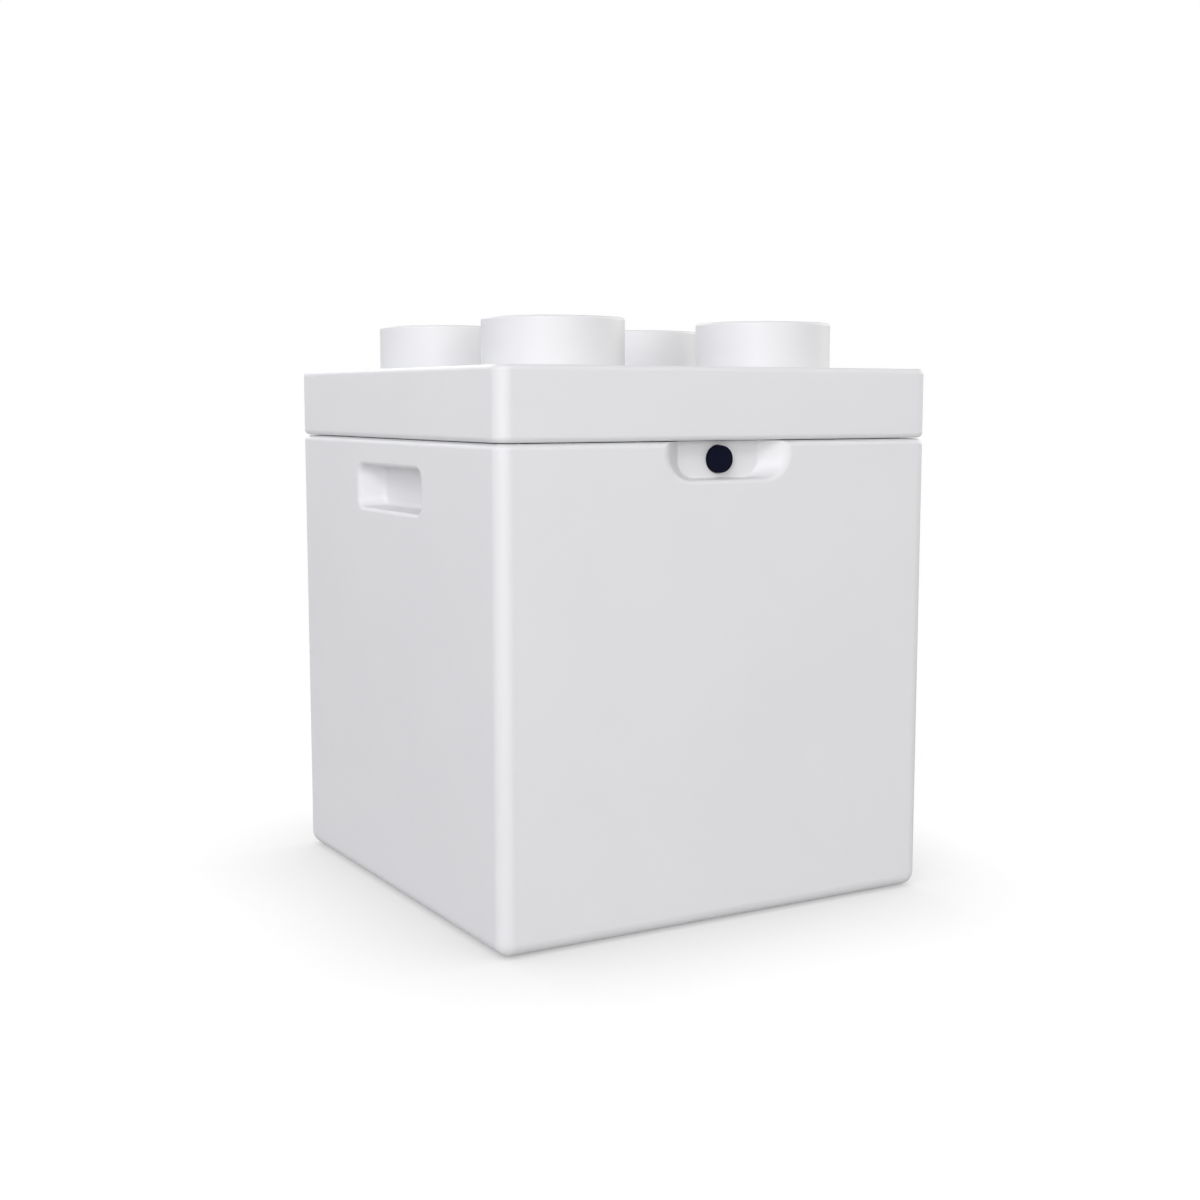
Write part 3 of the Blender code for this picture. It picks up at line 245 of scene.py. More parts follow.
FINISHES = {
    # ABS from a finely etched tool: satin, so that lamps give wide soft highlights
    Slot.WHITE_PLASTIC: Finish(
        "satin_white_moulded_abs", ("#E3E3E4", "#DFDFE1"), FLOW, Pattern(0.0009, 1.0), 0.000012,
        {"IOR": 1.53}, HANDLING, (0.39, 0.45),
    ),
    # ABS from a coarser etched tool: matt, with a grain that shows close by
    Slot.LINER_PLASTIC: Finish(
        "matt_white_grained_abs", ("#DCDCDE", "#D8D8DB"), FLOW, Pattern(0.0011, 1.0), 0.00006,
        {"IOR": 1.53}, HANDLING, (0.54, 0.62),
    ),
    # Acetal as moulded: waxy and even, because it slides against itself
    Slot.GREY_PLASTIC: Finish(
        "waxy_grey_moulded_acetal", ("#82858A", "#7B7E83"), FLOW, Pattern(0.0007, 1.0), 0.00002,
        {"IOR": 1.48}, HANDLING, (0.33, 0.43),
    ),
    # ABS with a soft-touch lacquer: nearly no gloss, so that the cap reads as one flat dark disc
    Slot.BLACK_PLASTIC: Finish(
        "soft_touch_black_lacquered_abs", ("#101224", "#131527"), FLOW, Pattern(0.0006, 1.0), 0.00001,
        {"IOR": 1.45, "Specular IOR Level": 0.04}, HANDLING, (0.67, 0.73),
    ),
    # EPDM rubber as moulded: dull, with a dusty bloom in patches
    Slot.GREY_RUBBER: Finish(
        "dull_grey_moulded_epdm", ("#55565A", "#626366"), Pattern(0.006, 4.0), Pattern(0.0005), 0.00006,
        {"Roughness": 0.78, "IOR": 1.52},
    ),
    # Zinc plating, clear passivated: a bright grey with a faint blue cast and fine crystals
    Slot.ZINC_STEEL: Finish(
        "bright_zinc_plated_steel", ("#C3C7CC", "#B4BAC4"), PLATING, ZINC_CRYSTALS, 0.000008,
        {"Metallic": 1.0}, ZINC_CRYSTALS, (0.24, 0.38),
    ),
    # Drawn music wire, oiled: darker, with fine marks
    Slot.SPRING_STEEL: Finish(
        "drawn_music_wire", ("#A9ABAE", "#9A9CA0"), PLATING, DRAWING_MARKS, 0.000004,
        {"Metallic": 1.0}, DRAWING_MARKS, (0.20, 0.34),
    ),
    # Nickel plating on a sintered magnet: smooth, warm and bright
    Slot.NICKEL: Finish(
        "bright_nickel_plated_magnet", ("#D6D2C8", "#CCC7BB"), PLATING, NICKEL_CRYSTALS, 0.000003,
        {"Metallic": 1.0}, NICKEL_CRYSTALS, (0.10, 0.24),
    ),
}


# Mesh tools


def round_off(
    shape: BMesh, parts: Iterable[BMEdge | BMVert], radius: float, steps: int = ARC_STEPS
) -> None:
    """Rounds edges of a mesh, or corners of a flat face, with a circular profile.

    Args:
        shape: The mesh.
        parts: The edges, or the vertices at the corners.
        radius: The radius of the rounding.
        steps: The number of faces or edges across it.
    """
    geometry = list(parts)
    affect = "VERTICES" if any(isinstance(part, BMVert) for part in geometry) else "EDGES"
    bmesh.ops.bevel(
        shape, geom=geometry, offset=radius, offset_type="OFFSET", segments=steps, profile=0.5,
        affect=affect, material=-1,
    )


def box(size: Sequence[float], centre: Sequence[float]) -> BMesh:
    """A block.

    Args:
        size: Its width, depth and height.
        centre: Where its middle is.

    Returns:
        The mesh.
    """
    shape = bmesh.new()
    bmesh.ops.create_cube(shape, size=1.0)
    bmesh.ops.scale(shape, vec=size, verts=shape.verts)
    bmesh.ops.translate(shape, vec=centre, verts=shape.verts)
    return shape


def level_edges(shape: BMesh, axis: int, level: float, reach: float = HAIR) -> list[BMEdge]:
    """Edges whose ends both lie at one level of X, Y or Z (axis 0, 1 or 2), within a reach."""
    return [e for e in shape.edges if all(abs(v.co[axis] - level) < reach for v in e.verts)]


def long_edges(edges: Iterable[BMEdge], axis: int, least: float) -> list[BMEdge]:
    """Those edges that run along X, Y or Z (axis 0, 1 or 2) for more than a least length."""
    return [e for e in edges if abs(e.verts[0].co[axis] - e.verts[1].co[axis]) > least]


def rounded_box(
    size: Sequence[float],
    centre: Sequence[float],
    corner: float,
    lower: float = 0.0,
    upper: float = 0.0,
    steps: int = ARC_STEPS,
) -> BMesh:
    """A block with rounded upright, lower and upper edges.

    Args:
        size: Its width, depth and height.
        centre: Where its middle is.
        corner: The radius of the upright edges.
        lower: The radius round the underside.
        upper: The radius round the top.
        steps: The number of faces across each rounding.

    Returns:
        The mesh.
    """
    shape = box(size, centre)
    round_off(shape, long_edges(shape.edges, 2, size[2] / 2), corner, steps)
    for way, radius in ((-1, lower), (1, upper)):
        if radius:
            ring = level_edges(shape, 2, centre[2] + way * size[2] / 2, radius / 2)
            round_off(shape, ring, radius, steps)
    return shape


def outline_face(
    shape: BMesh, width: float, height: float, radii: tuple[float, float], place: Matrix
) -> BMFace:
    """Adds one flat rectangle with rounded corners to a mesh.

    Args:
        shape: The mesh.
        width: Its size along its own X.
        height: Its size along its own Y.
        radii: The radii of its lower and of its upper corners, 0 for sharp ones.
        place: The matrix that puts it in its place.

    Returns:
        The face.
    """
    before = set(shape.faces)
    corners = bmesh.ops.create_grid(shape, x_segments=1, y_segments=1, size=0.5)["verts"]
    bmesh.ops.scale(shape, vec=(width, height, 1), verts=corners)
    pairs = [[v for v in corners if v.co.y < 0], [v for v in corners if v.co.y > 0]]
    for pair, radius in zip(pairs, radii):
        if radius:
            round_off(shape, pair, radius)
    face = next(f for f in shape.faces if f not in before)
    bmesh.ops.transform(shape, matrix=place, verts=face.verts)
    return face


def bridged(shape: BMesh, faces: list[BMFace]) -> BMesh:
    """Joins faces of one mesh into a closed shape, from the first to the last.

    Args:
        shape: The mesh that holds the faces.
        faces: The faces in order; the first and the last become its ends.

    Returns:
        The same mesh.
    """
    loops = [list(face.edges) for face in faces]
    bmesh.ops.delete(shape, geom=faces[1:-1], context="FACES_ONLY")
    for near, far in zip(loops, loops[1:]):
        bmesh.ops.bridge_loops(shape, edges=near + far)
    bmesh.ops.recalc_face_normals(shape, faces=shape.faces)
    return shape


def stacked(levels: Iterable[tuple[float, float]]) -> BMesh:
    """Outlines of the box stacked along Z and joined into a closed shape.

    Args:
        levels: The inset and the height of each outline.

    Returns:
        The mesh.
    """
    shape = bmesh.new()
    faces = []
    for inset, height in levels:
        radius = max(FORM.corner_radius - inset, LEAST_CORNER)
        place = Matrix.Translation((0, 0, height))
        wide, deep = FORM.width - 2 * inset, FORM.depth - 2 * inset
        faces.append(outline_face(shape, wide, deep, (radius, radius), place))
    return bridged(shape, faces)


def quarter(radius: float, steps: int = ARC_STEPS) -> list[tuple[float, float]]:
    """A quarter circle, flat to upright: how far each point is in from the side and down from the top."""
    turns = [math.pi / 2 * i / steps for i in range(steps + 1)]
    return [(radius * (1 - math.sin(t)), radius * (1 - math.cos(t))) for t in turns]


def turned(
    profile: Sequence[tuple[float, float]], place: Matrix, steps: int = ROUND_STEPS, closed: bool = False
) -> BMesh:
    """A turned solid from a profile that is spun about its own Z.

    Args:
        profile: Radius and height of each point of the profile.
        place: The matrix that puts the solid in its place.
        steps: The number of faces round it.
        closed: True for a ring, whose profile doesn't touch the axis.

    Returns:
        The mesh.
    """
    shape = bmesh.new()
    points = [shape.verts.new((radius, 0, height)) for radius, height in profile]
    for i in range(0 if closed else 1, len(points)):
        shape.edges.new((points[i - 1], points[i]))
    bmesh.ops.spin(
        shape, geom=shape.verts[:] + shape.edges[:], cent=(0, 0, 0), axis=(0, 0, 1), angle=math.tau,
        steps=steps, use_merge=True, use_duplicate=False,
    )
    bmesh.ops.remove_doubles(shape, verts=shape.verts, dist=HAIR / 10)
    bmesh.ops.transform(shape, matrix=place, verts=shape.verts)
    bmesh.ops.recalc_face_normals(shape, faces=shape.faces)
    return shape


def rod(radius: float, bottom: float, top: float, place: Matrix, steps: int = ROUND_STEPS) -> BMesh:
    """A plain cylinder along its own Z, from its bottom to its top."""
    return turned([(0, bottom), (radius, bottom), (radius, top), (0, top)], place, steps)


def aimed(position: Sequence[float], way: Sequence[float]) -> Matrix:
    """A matrix that turns Z to a direction and moves the origin to a position."""
    turn = Vector((0, 0, 1)).rotation_difference(Vector(way)).to_matrix().to_4x4()
    return Matrix.Translation(position) @ turn


def upright(x: float, y: float, z: float = 0.0) -> Matrix:
    """A matrix that moves the origin to a position."""
    return Matrix.Translation((x, y, z))


def middle_of(node: str) -> Vector:
    """The middle of a CAD node's box at rest."""
    low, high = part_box(node)
    return (low + high) / 2


class Solid:
    """A closed shape that others are joined to or cut out of."""

    def __init__(self, shape: BMesh, solver: Solver = Solver.EXACT) -> None:
        """Takes over a finished mesh.

        Args:
            shape: The mesh.
            solver: How others are joined to it or cut out of it.
        """
        self.solver = solver
        mesh = bpy.data.meshes.new("solid")
        shape.to_mesh(mesh)
        shape.free()
        self.piece = bpy.data.objects.new("solid", mesh)
        bpy.context.scene.collection.objects.link(self.piece)
        self.helpers: list[Solid] = []

    def combine(self, others: Iterable["Solid | BMesh"], operation: Operation) -> None:
        """Adds a Boolean modifier for each other shape.

        Args:
            others: The shapes.
            operation: What is done with them.
        """
        for other in others:
            helper = other if isinstance(other, Solid) else Solid(other)
            modifier = self.piece.modifiers.new("shape", "BOOLEAN")
            modifier.operation = operation.value
            modifier.solver = self.solver.value
            modifier.object = helper.piece
            self.helpers.append(helper)

    def cut(self, *others: "Solid | BMesh") -> None:
        """Cuts each other shape out of this one."""
        self.combine(others, Operation.CUT)

    def join(self, *others: "Solid | BMesh") -> None:
        """Joins each other shape to this one."""
        self.combine(others, Operation.JOIN)

    def remove(self) -> None:
        """Removes this solid and its helpers."""
        for helper in self.helpers:
            helper.remove()
        bpy.data.objects.remove(self.piece)

    def mesh(self, soften: float = 0.0) -> bpy.types.Mesh:
        """Works the shape out and removes this solid.

        Args:
            soften: The width of a small bevel on every sharp edge, 0 for none.

        Returns:
            The finished mesh.
        """
        if soften:
            bevel = self.piece.modifiers.new("soften", "BEVEL")
            bevel.width = soften
            bevel.segments = 2
            bevel.limit_method = "ANGLE"
            bevel.angle_limit = math.radians(SOFTEN_ANGLE)
            bevel.use_clamp_overlap = True
        graph = bpy.context.evaluated_depsgraph_get()
        graph.update()
        made = bpy.data.meshes.new_from_object(self.piece.evaluated_get(graph))
        self.remove()
        return made


def publish(name: str, mesh: bpy.types.Mesh, body: Body, slot: Slot, *nodes: str) -> bpy.types.Object:
    """Makes a finished piece from a mesh, in the finish of its slot.

    Args:
        name: The piece's name.
        mesh: Its mesh, in its place.
        body: The CAD body it rides on.
        slot: The record's material slot.
        *nodes: The CAD nodes it stands for.

    Returns:
        The piece.
    """
    finish = FINISHES[slot]
    mesh.name = name
    mesh.shade_smooth()
    mesh.set_sharp_from_angle(angle=math.radians(SMOOTH_ANGLE))
    mesh.materials.clear()
    mesh.materials.append(bpy.data.materials.get(finish.name) or finish.build())
    piece = bpy.data.objects.new(name, mesh)
    bpy.context.scene.collection.objects.link(piece)
    normals = piece.modifiers.new("even_normals", "WEIGHTED_NORMAL")
    normals.keep_sharp = True
    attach(piece, body.value)
    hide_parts(*nodes)
    log.info("%s: %d faces on %s", name, len(mesh.polygons), body.value)
    return piece


# Screws


@dataclass(frozen=True)
class Screw:
    """A cross-headed screw, with its origin where its head seats or is flush."""

    head: Head
    length: float
    shank_radius: float = 0.00175
    flat_radius: float = 0.0032
    flat_height: float = 0.0013
    pan_radius: float = 0.0030
    pan_height: float = 0.0020
    dome_share: float = 0.45
    tip_length: float = 0.0020
    drive_span: float = 0.0036
    drive_width: float = 0.0008
    drive_depth: float = 0.0011
    drive_taper: float = 0.45
    edge_radius: float = 0.0003

    def profile(self) -> list[tuple[float, float]]:
        """The turned profile.

        Returns:
            Radius and height of each point.
        """
        thin, edge = self.shank_radius, self.edge_radius
        shank = [(thin, self.tip_length - self.length), (thin / 3, -self.length), (0, -self.length)]
        if self.head is Head.FLAT:
            wide = self.flat_radius
            cone = [(wide, -edge / 2), (wide, -edge), (thin, -self.flat_height)]
            return [(0, 0), (wide - edge, 0)] + cone + shank
        wide, tall = self.pan_radius, self.pan_height
        dome = [(wide - inward, tall - down) for inward, down in quarter(wide * self.dome_share)]
        return [(0, tall)] + dome + [(wide, 0), (thin, 0)] + shank

    @cache
    def mesh(self) -> bpy.types.Mesh:
        """The screw's mesh, upright at the origin.

        Returns:
            The mesh, made once for each head and length and copied for each screw.
        """
        solid = Solid(turned(self.profile(), Matrix(), SMALL_ROUND_STEPS))
        top = 0 if self.head is Head.FLAT else self.pan_height
        for span in ((self.drive_span, self.drive_width), (self.drive_width, self.drive_span)):
            slot = box((*span, 2 * self.drive_depth), (0, 0, top))
            foot = [v for v in slot.verts if v.co.z < top]
            bmesh.ops.scale(slot, vec=(self.drive_taper, self.drive_taper, 1), verts=foot)
            solid.cut(slot)
        return solid.mesh()

    def drive(self, node: str, place: Matrix, body: Body) -> None:
        """Places the screw in the stead of its CAD node.

        Args:
            node: The CAD node.
            place: Where the origin goes, with Z out of the head.
            body: The body it rides on.
        """
        mesh = self.mesh().copy()
        mesh.transform(place)
        publish(f"cross_{node}", mesh, body, Slot.ZINC_STEEL, node)


def countersink(length: float, place: Matrix) -> BMesh:
    """The cutter for a countersunk hole whose screw is flush at the origin.

    Args:
        length: How deep the hole goes.
        place: Where the origin goes, with Z out of the hole.

    Returns:
        The mesh.
    """
    head = Screw.flat_radius + FORM.seat_gap
    bore = Screw.shank_radius + FORM.seat_gap
    profile = [(0, CUT_OVERRUN), (head, CUT_OVERRUN), (head, 0), (bore, -Screw.flat_height)]
    return turned(profile + [(bore, -length), (0, -length)], place, SMALL_ROUND_STEPS)


# Outer form


@dataclass(frozen=True)
class Form:
    """Sizes that the body and the lid share."""

    width: float = 0.400
    depth: float = 0.400
    body_bottom: float = 0.0008
    body_top: float = 0.3818
    lid_bottom: float = 0.3830
    lid_top: float = 0.4395
    corner_radius: float = 0.012
    seam_radius: float = 0.0045
    seat_gap: float = 0.0003
    running_gap: float = 0.0004
    screw_hole: float = 0.00205

    @property
    def seam(self) -> float:
        """The height of the middle of the seam."""
        return (self.body_top + self.lid_bottom) / 2

    @property
    def front(self) -> float:
        """Y of the front face."""
        return -self.depth / 2

    @property
    def back(self) -> float:
        """Y of the back face."""
        return self.depth / 2


FORM = Form()


class Hollow:
    """A hollow moulded into a face of the body, from outlines that its ring method adds."""

    depth: float
    mouth_radius: float
    floor_radius: float

    def room(self) -> BMesh:
        """The cutter, with a rounded mouth and a rounded floor.

        Returns:
            The mesh.
        """
        shape = bmesh.new()
        mouth, floor = quarter(self.mouth_radius), quarter(self.floor_radius)
        faces = [self.ring(shape, -CUT_OVERRUN, self.mouth_radius, 0)]
        faces += [self.ring(shape, depth, offset, 0) for offset, depth in mouth]
        faces += [self.ring(shape, self.depth - rise, -offset, 0) for rise, offset in floor]
        return bridged(shape, faces)

    def case(self, wall: float) -> BMesh:
        """The walls round the hollow, as a solid.

        Args:
            wall: Their thickness.

        Returns:
            The mesh.
        """
        shape = bmesh.new()
        faces = [self.ring(shape, d, wall, wall) for d in (wall / 2, wall, self.depth + wall)]
        return bridged(shape, faces)

    def share(self, depth: float, slope_from: float) -> float:
        """How far its sides have closed in at a depth, from 0 to 1."""
        return min(max((depth - slope_from) / self.depth, 0), 1)


@dataclass(frozen=True)
class Pocket(Hollow):
    """A hand pocket in the left (-1) or the right (1) side, with slanted ends and a rising sill."""

    side: int
    width: float = 0.128
    height: float = 0.036
    depth: float = 0.022
    end_slant: float = 0.008
    sill_rise: float = 0.002
    middle: float = 0.3418
    corner: float = 0.009
    mouth_radius: float = 0.0035
    floor_radius: float = 0.0035

    def ring(self, shape: BMesh, depth: float, offset: float, slope_from: float) -> BMFace:
        """Adds the pocket's outline at a depth behind the side.

        Args:
            shape: The mesh.
            depth: How far behind the side face.
            offset: How far it is grown.
            slope_from: The depth at which its ends start to close in.

        Returns:
            The face.
        """
        share = self.share(depth, slope_from)
        rise = share * self.sill_rise
        turn = Matrix(((0, 0, 1, 0), (1, 0, 0, 0), (0, 1, 0, 0), (0, 0, 0, 1)))
        place = upright(self.side * (FORM.width / 2 - depth), 0, self.middle + rise / 2) @ turn
        width = self.width + 2 * (offset - share * self.end_slant)
        radius = self.corner + offset
        return outline_face(shape, width, self.height - rise + 2 * offset, (radius, radius), place)


@dataclass(frozen=True)
class Recess(Hollow):
    """The finger recess in the front, open at the top under the lid."""

    mouth_width: float = 0.1134
    back_width: float = 0.076
    height: float = 0.029
    ledge_rise: float = 0.0008
    depth: float = 0.016
    mouth_corner: float = 0.021
    back_corner: float = 0.014
    mouth_radius: float = 0.0037
    floor_radius: float = 0.0012

    def ring(self, shape: BMesh, depth: float, offset: float, slope_from: float) -> BMFace:
        """Adds the recess's outline at a depth behind the front.

        Args:
            shape: The mesh.
            depth: How far behind the front face.
            offset: How far it is grown.
            slope_from: The depth at which its sides start to close in.

        Returns:
            The face.
        """
        share = self.share(depth, slope_from)
        width = self.mouth_width + share * (self.back_width - self.mouth_width) + 2 * offset
        bottom = FORM.body_top - self.height + share * self.ledge_rise - offset
        radius = self.mouth_corner + share * (self.back_corner - self.mouth_corner) + offset
        top = FORM.body_top + CUT_OVERRUN
        turn = Matrix(((1, 0, 0, 0), (0, 0, -1, 0), (0, 1, 0, 0), (0, 0, 0, 1)))
        place = upright(0, FORM.front + depth, (top + bottom) / 2) @ turn
        return outline_face(shape, width, top - bottom, (radius, 0), place)


RECESS = Recess()


@dataclass(frozen=True)
class Cushions:
    """The rubber bumpers in the lid's rim and the guide strips under the liner."""

    edge_radius: float = 0.0006
    corner_share: float = 0.42
    corner_steps: int = 6

    @staticmethod
    def nodes(kind: str) -> list[str]:
        """The CAD nodes of a kind: bumper or guide_strip."""
        return [f"{kind}_{place}_{side}" for place in ("front", "side") for side in SIDES]

    def sockets(self, height: float, tall: float) -> list[BMesh]:
        """Cutters round the bumpers, with a gap.

        Args:
            height: The height of their middle.
            tall: How tall they are.

        Returns:
            The cutters.
        """
        room = 2 * FORM.seat_gap
        cutters = []
        for node in self.nodes("bumper"):
            low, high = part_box(node)
            middle = (low + high) / 2
            size = (high.x - low.x + room, high.y - low.y + room, tall)
            cutters.append(box(size, (middle.x, middle.y, height)))
        return cutters

    def build(self) -> None:
        """Models the bumpers and the strips and publishes them."""
        for node in self.nodes("bumper") + self.nodes("guide_strip"):
            low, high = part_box(node)
            corner = min(high.x - low.x, high.y - low.y) * self.corner_share
            middle = (low + high) / 2
            shape = rounded_box(high - low, middle, corner, self.edge_radius, steps=self.corner_steps)
            publish(f"rubber_{node}", Solid(shape).mesh(), Body.LID, Slot.GREY_RUBBER, node)


CUSHIONS = Cushions()


@dataclass(frozen=True)
class Hinges:
    """Two steel hinges with their pins, their screws and their seats in both mouldings."""

    middle: float = 0.120
    length: float = 0.056
    axis_behind: float = 0.0005
    barrel_radius: float = 0.0042
    pin_radius: float = 0.0018
    pin_head_radius: float = 0.0030
    pin_head_length: float = 0.0010
    pin_dome_share: float = 0.8
    pin_dome_steps: int = 5
    knuckle_length: float = 0.018
    leaf_width: float = 0.026
    leaf_thickness: float = 0.0015
    leaf_corner: float = 0.0025
    leaf_soften: float = 0.00015
    screw_spacing: float = 0.036
    screw_from_axis: float = 0.018
    screw_length: float = 0.012
    boss_margin: float = 0.002
    boss_height: float = 0.016
    boss_wall: float = 0.003

    @property
    def axis_y(self) -> float:
        """Y of the pin."""
        return FORM.back + self.axis_behind

    def screw_places(self, middle: float) -> list[tuple[float, float]]:
        """X and Y of the two screws in a leaf whose middle is given."""
        y = self.axis_y - self.screw_from_axis
        return [(middle + way * self.screw_spacing / 2, y) for way in (-1, 1)]

    def boss(self, sign: int, up: int) -> BMesh:
        """The block behind a rim that a leaf is screwed to.

        Args:
            sign: -1 for left, 1 for right.
            up: 1 for the lid, -1 for the body.

        Returns:
            The mesh.
        """
        level = FORM.lid_bottom if up > 0 else FORM.body_top
        near = self.axis_y - self.leaf_width - self.boss_margin
        far = FORM.back - self.boss_wall / 2
        tall = self.boss_height + CUT_OVERRUN
        size = (self.length + 2 * self.boss_margin, far - near, tall)
        shape = box(size, (sign * self.middle, (near + far) / 2, level + up * (tall / 2 - CUT_OVERRUN)))
        end = level + up * self.boss_height
        toe = [v for v in shape.verts if abs(v.co.z - end) < HAIR and v.co.y > near + HAIR]
        bmesh.ops.translate(shape, vec=(0, 0, up * (far - near)), verts=toe)
        return shape

    def seats(self, up: int) -> list[BMesh]:
        """The mortises, barrel channels and screw holes of one moulding.

        Args:
            up: 1 for the lid, -1 for the body.

        Returns:
            The cutters.
        """
        gap = FORM.seat_gap
        half = self.length / 2 + gap
        wide = self.leaf_width + gap
        end = half + self.pin_head_length + gap
        face = FORM.seam + up * (self.leaf_thickness + 3 * gap / 2)
        clear = (FORM.lid_bottom - FORM.body_top) / 2 + self.leaf_thickness + CUT_OVERRUN
        cutters = []
        for sign in SIDES.values():
            middle = sign * self.middle
            centre = (middle, self.axis_y - wide / 2, face - up * clear / 2)
            cutters.append(box((2 * half, wide, clear), centre))
            place = aimed((middle, self.axis_y, FORM.seam), (1, 0, 0))
            cutters.append(rod(self.barrel_radius + FORM.running_gap, -end, end, place))
            for x, y in self.screw_places(middle):
                hole = aimed((x, y, FORM.seam), (0, 0, up))
                cutters.append(rod(FORM.screw_hole, 0, self.screw_length + gap, hole, SMALL_ROUND_STEPS))
        return cutters

    def leaf(self, middle: float, up: int, knuckles: list[tuple[float, float]]) -> bpy.types.Mesh:
        """One leaf with its rolled knuckles.

        Args:
            middle: X of the hinge's middle.
            up: 1 for the lid's leaf, -1 for the body's.
            knuckles: Where each knuckle starts and ends along the pin.

        Returns:
            The mesh.
        """
        gap = FORM.seat_gap
        edge = self.barrel_radius + FORM.running_gap
        deep = self.leaf_width - edge
        thick = self.leaf_thickness
        level = FORM.seam + up * (gap + thick) / 2
        plate = box((self.length, deep, thick), (middle, self.axis_y - edge - deep / 2, level))
        far = level_edges(plate, 1, self.axis_y - self.leaf_width)
        round_off(plate, long_edges(far, 2, thick / 2), self.leaf_corner)
        leaf = Solid(plate)
        tab_end = (self.barrel_radius + self.pin_radius + gap) / 2
        tab_deep = edge - tab_end + FORM.running_gap
        bore = self.pin_radius + gap
        wide = self.barrel_radius
        place = aimed((middle, self.axis_y, FORM.seam), (1, 0, 0))
        for start, end in knuckles:
            spot = (middle + (start + end) / 2, self.axis_y - tab_end - tab_deep / 2, level)
            leaf.join(box((end - start, tab_deep, thick), spot))
            leaf.join(turned([(bore, start), (wide, start), (wide, end), (bore, end)], place, closed=True))
        for x, y in self.screw_places(middle):
            spot = (x, y, FORM.seam + up * gap / 2)
            leaf.cut(countersink(thick + CUT_OVERRUN, aimed(spot, (0, 0, -up))))
        return leaf.mesh(self.leaf_soften)

    def pin(self, middle: float) -> bpy.types.Mesh:
        """The pin with its riveted, domed heads.

        Args:
            middle: X of the hinge's middle.

        Returns:
            The mesh.
        """
        reach = self.length / 2 + FORM.seat_gap
        head = reach + self.pin_head_length
        dome = quarter(self.pin_head_length * self.pin_dome_share, self.pin_dome_steps)
        end = [(self.pin_head_radius - inward, head - down) for inward, down in dome]
        half = [(0, head)] + end + [(self.pin_head_radius, reach), (self.pin_radius, reach)]
        profile = half + [(radius, -height) for radius, height in reversed(half)]
        place = aimed((middle, self.axis_y, FORM.seam), (1, 0, 0))
        return Solid(turned(profile, place, SMALL_ROUND_STEPS)).mesh()

    def build(self) -> None:
        """Models the hinges and publishes their pieces."""
        half = self.length / 2
        inner = half - self.knuckle_length
        outer_knuckles = [(-half, -inner), (inner, half)]
        middle_knuckle = [(FORM.running_gap - inner, inner - FORM.running_gap)]
        leaves = (("body", Body.BOX, -1, outer_knuckles), ("lid", Body.LID, 1, middle_knuckle))
        for side, sign in SIDES.items():
            middle = sign * self.middle
            for name, body, up, knuckles in leaves:
                node = f"hinge_{name}_leaf_{side}"
                mesh = self.leaf(middle, up, knuckles)
                publish(f"rolled_{node}", mesh, body, Slot.ZINC_STEEL, node)
                for number, (x, y) in enumerate(self.screw_places(middle), 1):
                    place = aimed((x, y, FORM.seam + up * FORM.seat_gap / 2), (0, 0, -up))
                    screw = f"hinge_{name}_screw_{side}_{number}"
                    Screw(Head.FLAT, self.screw_length).drive(screw, place, body)
            node = f"hinge_pin_{side}"
            publish(f"riveted_{node}", self.pin(middle), Body.BOX, Slot.SPRING_STEEL, node)


HINGES = Hinges()


@dataclass(frozen=True)
class Feet:
    """Four rubber feet with their screws."""

    radius: float = 0.013
    thickness: float = 0.005
    inset: float = 0.034
    edge_radius: float = 0.001
    counterbore: float = 0.003
    recess_radius: float = 0.0033
    boss_radius: float = 0.0055
    screw_length: float = 0.010
    groove_radii: tuple[float, float] = (0.0062, 0.0092)
    groove_width: float = 0.0012
    groove_depth: float = 0.0005

    def places(self) -> Iterable[tuple[str, float, float]]:
        """Finds the feet.

        Returns:
            Name, X and Y of each foot.
        """
        for end, way in ENDS.items():
            for side, sign in SIDES.items():
                x = sign * (FORM.width / 2 - self.inset)
                yield f"{end}_{side}", x, way * (FORM.depth / 2 - self.inset)

    def profile(self) -> list[tuple[float, float]]:
        """The closed profile of one foot, with grip grooves underneath.

        Returns:
            Radius and height of each point.
        """
        half = self.groove_width / 2
        points = [(self.recess_radius, 0)]
        for radius in self.groove_radii:
            points += [(radius - half, 0), (radius - half / 2, self.groove_depth)]
            points += [(radius + half / 2, self.groove_depth), (radius + half, 0)]
        points += [(self.radius - inward, up) for inward, up in quarter(self.edge_radius)]
        points += [(self.radius, self.thickness), (FORM.screw_hole, self.thickness)]
        return points + [(FORM.screw_hole, self.counterbore), (self.recess_radius, self.counterbore)]

    def build(self) -> None:
        """Models the feet and their screws and publishes them."""
        for name, x, y in self.places():
            foot = Solid(turned(self.profile(), upright(x, y), closed=True)).mesh()
            publish(f"foot_pad_{name}", foot, Body.BOX, Slot.GREY_RUBBER, f"foot_{name}")
            place = aimed((x, y, self.counterbore - FORM.seat_gap), (0, 0, -1))
            Screw(Head.PAN, self.screw_length).drive(f"foot_screw_{name}", place, Body.BOX)


FEET = Feet()


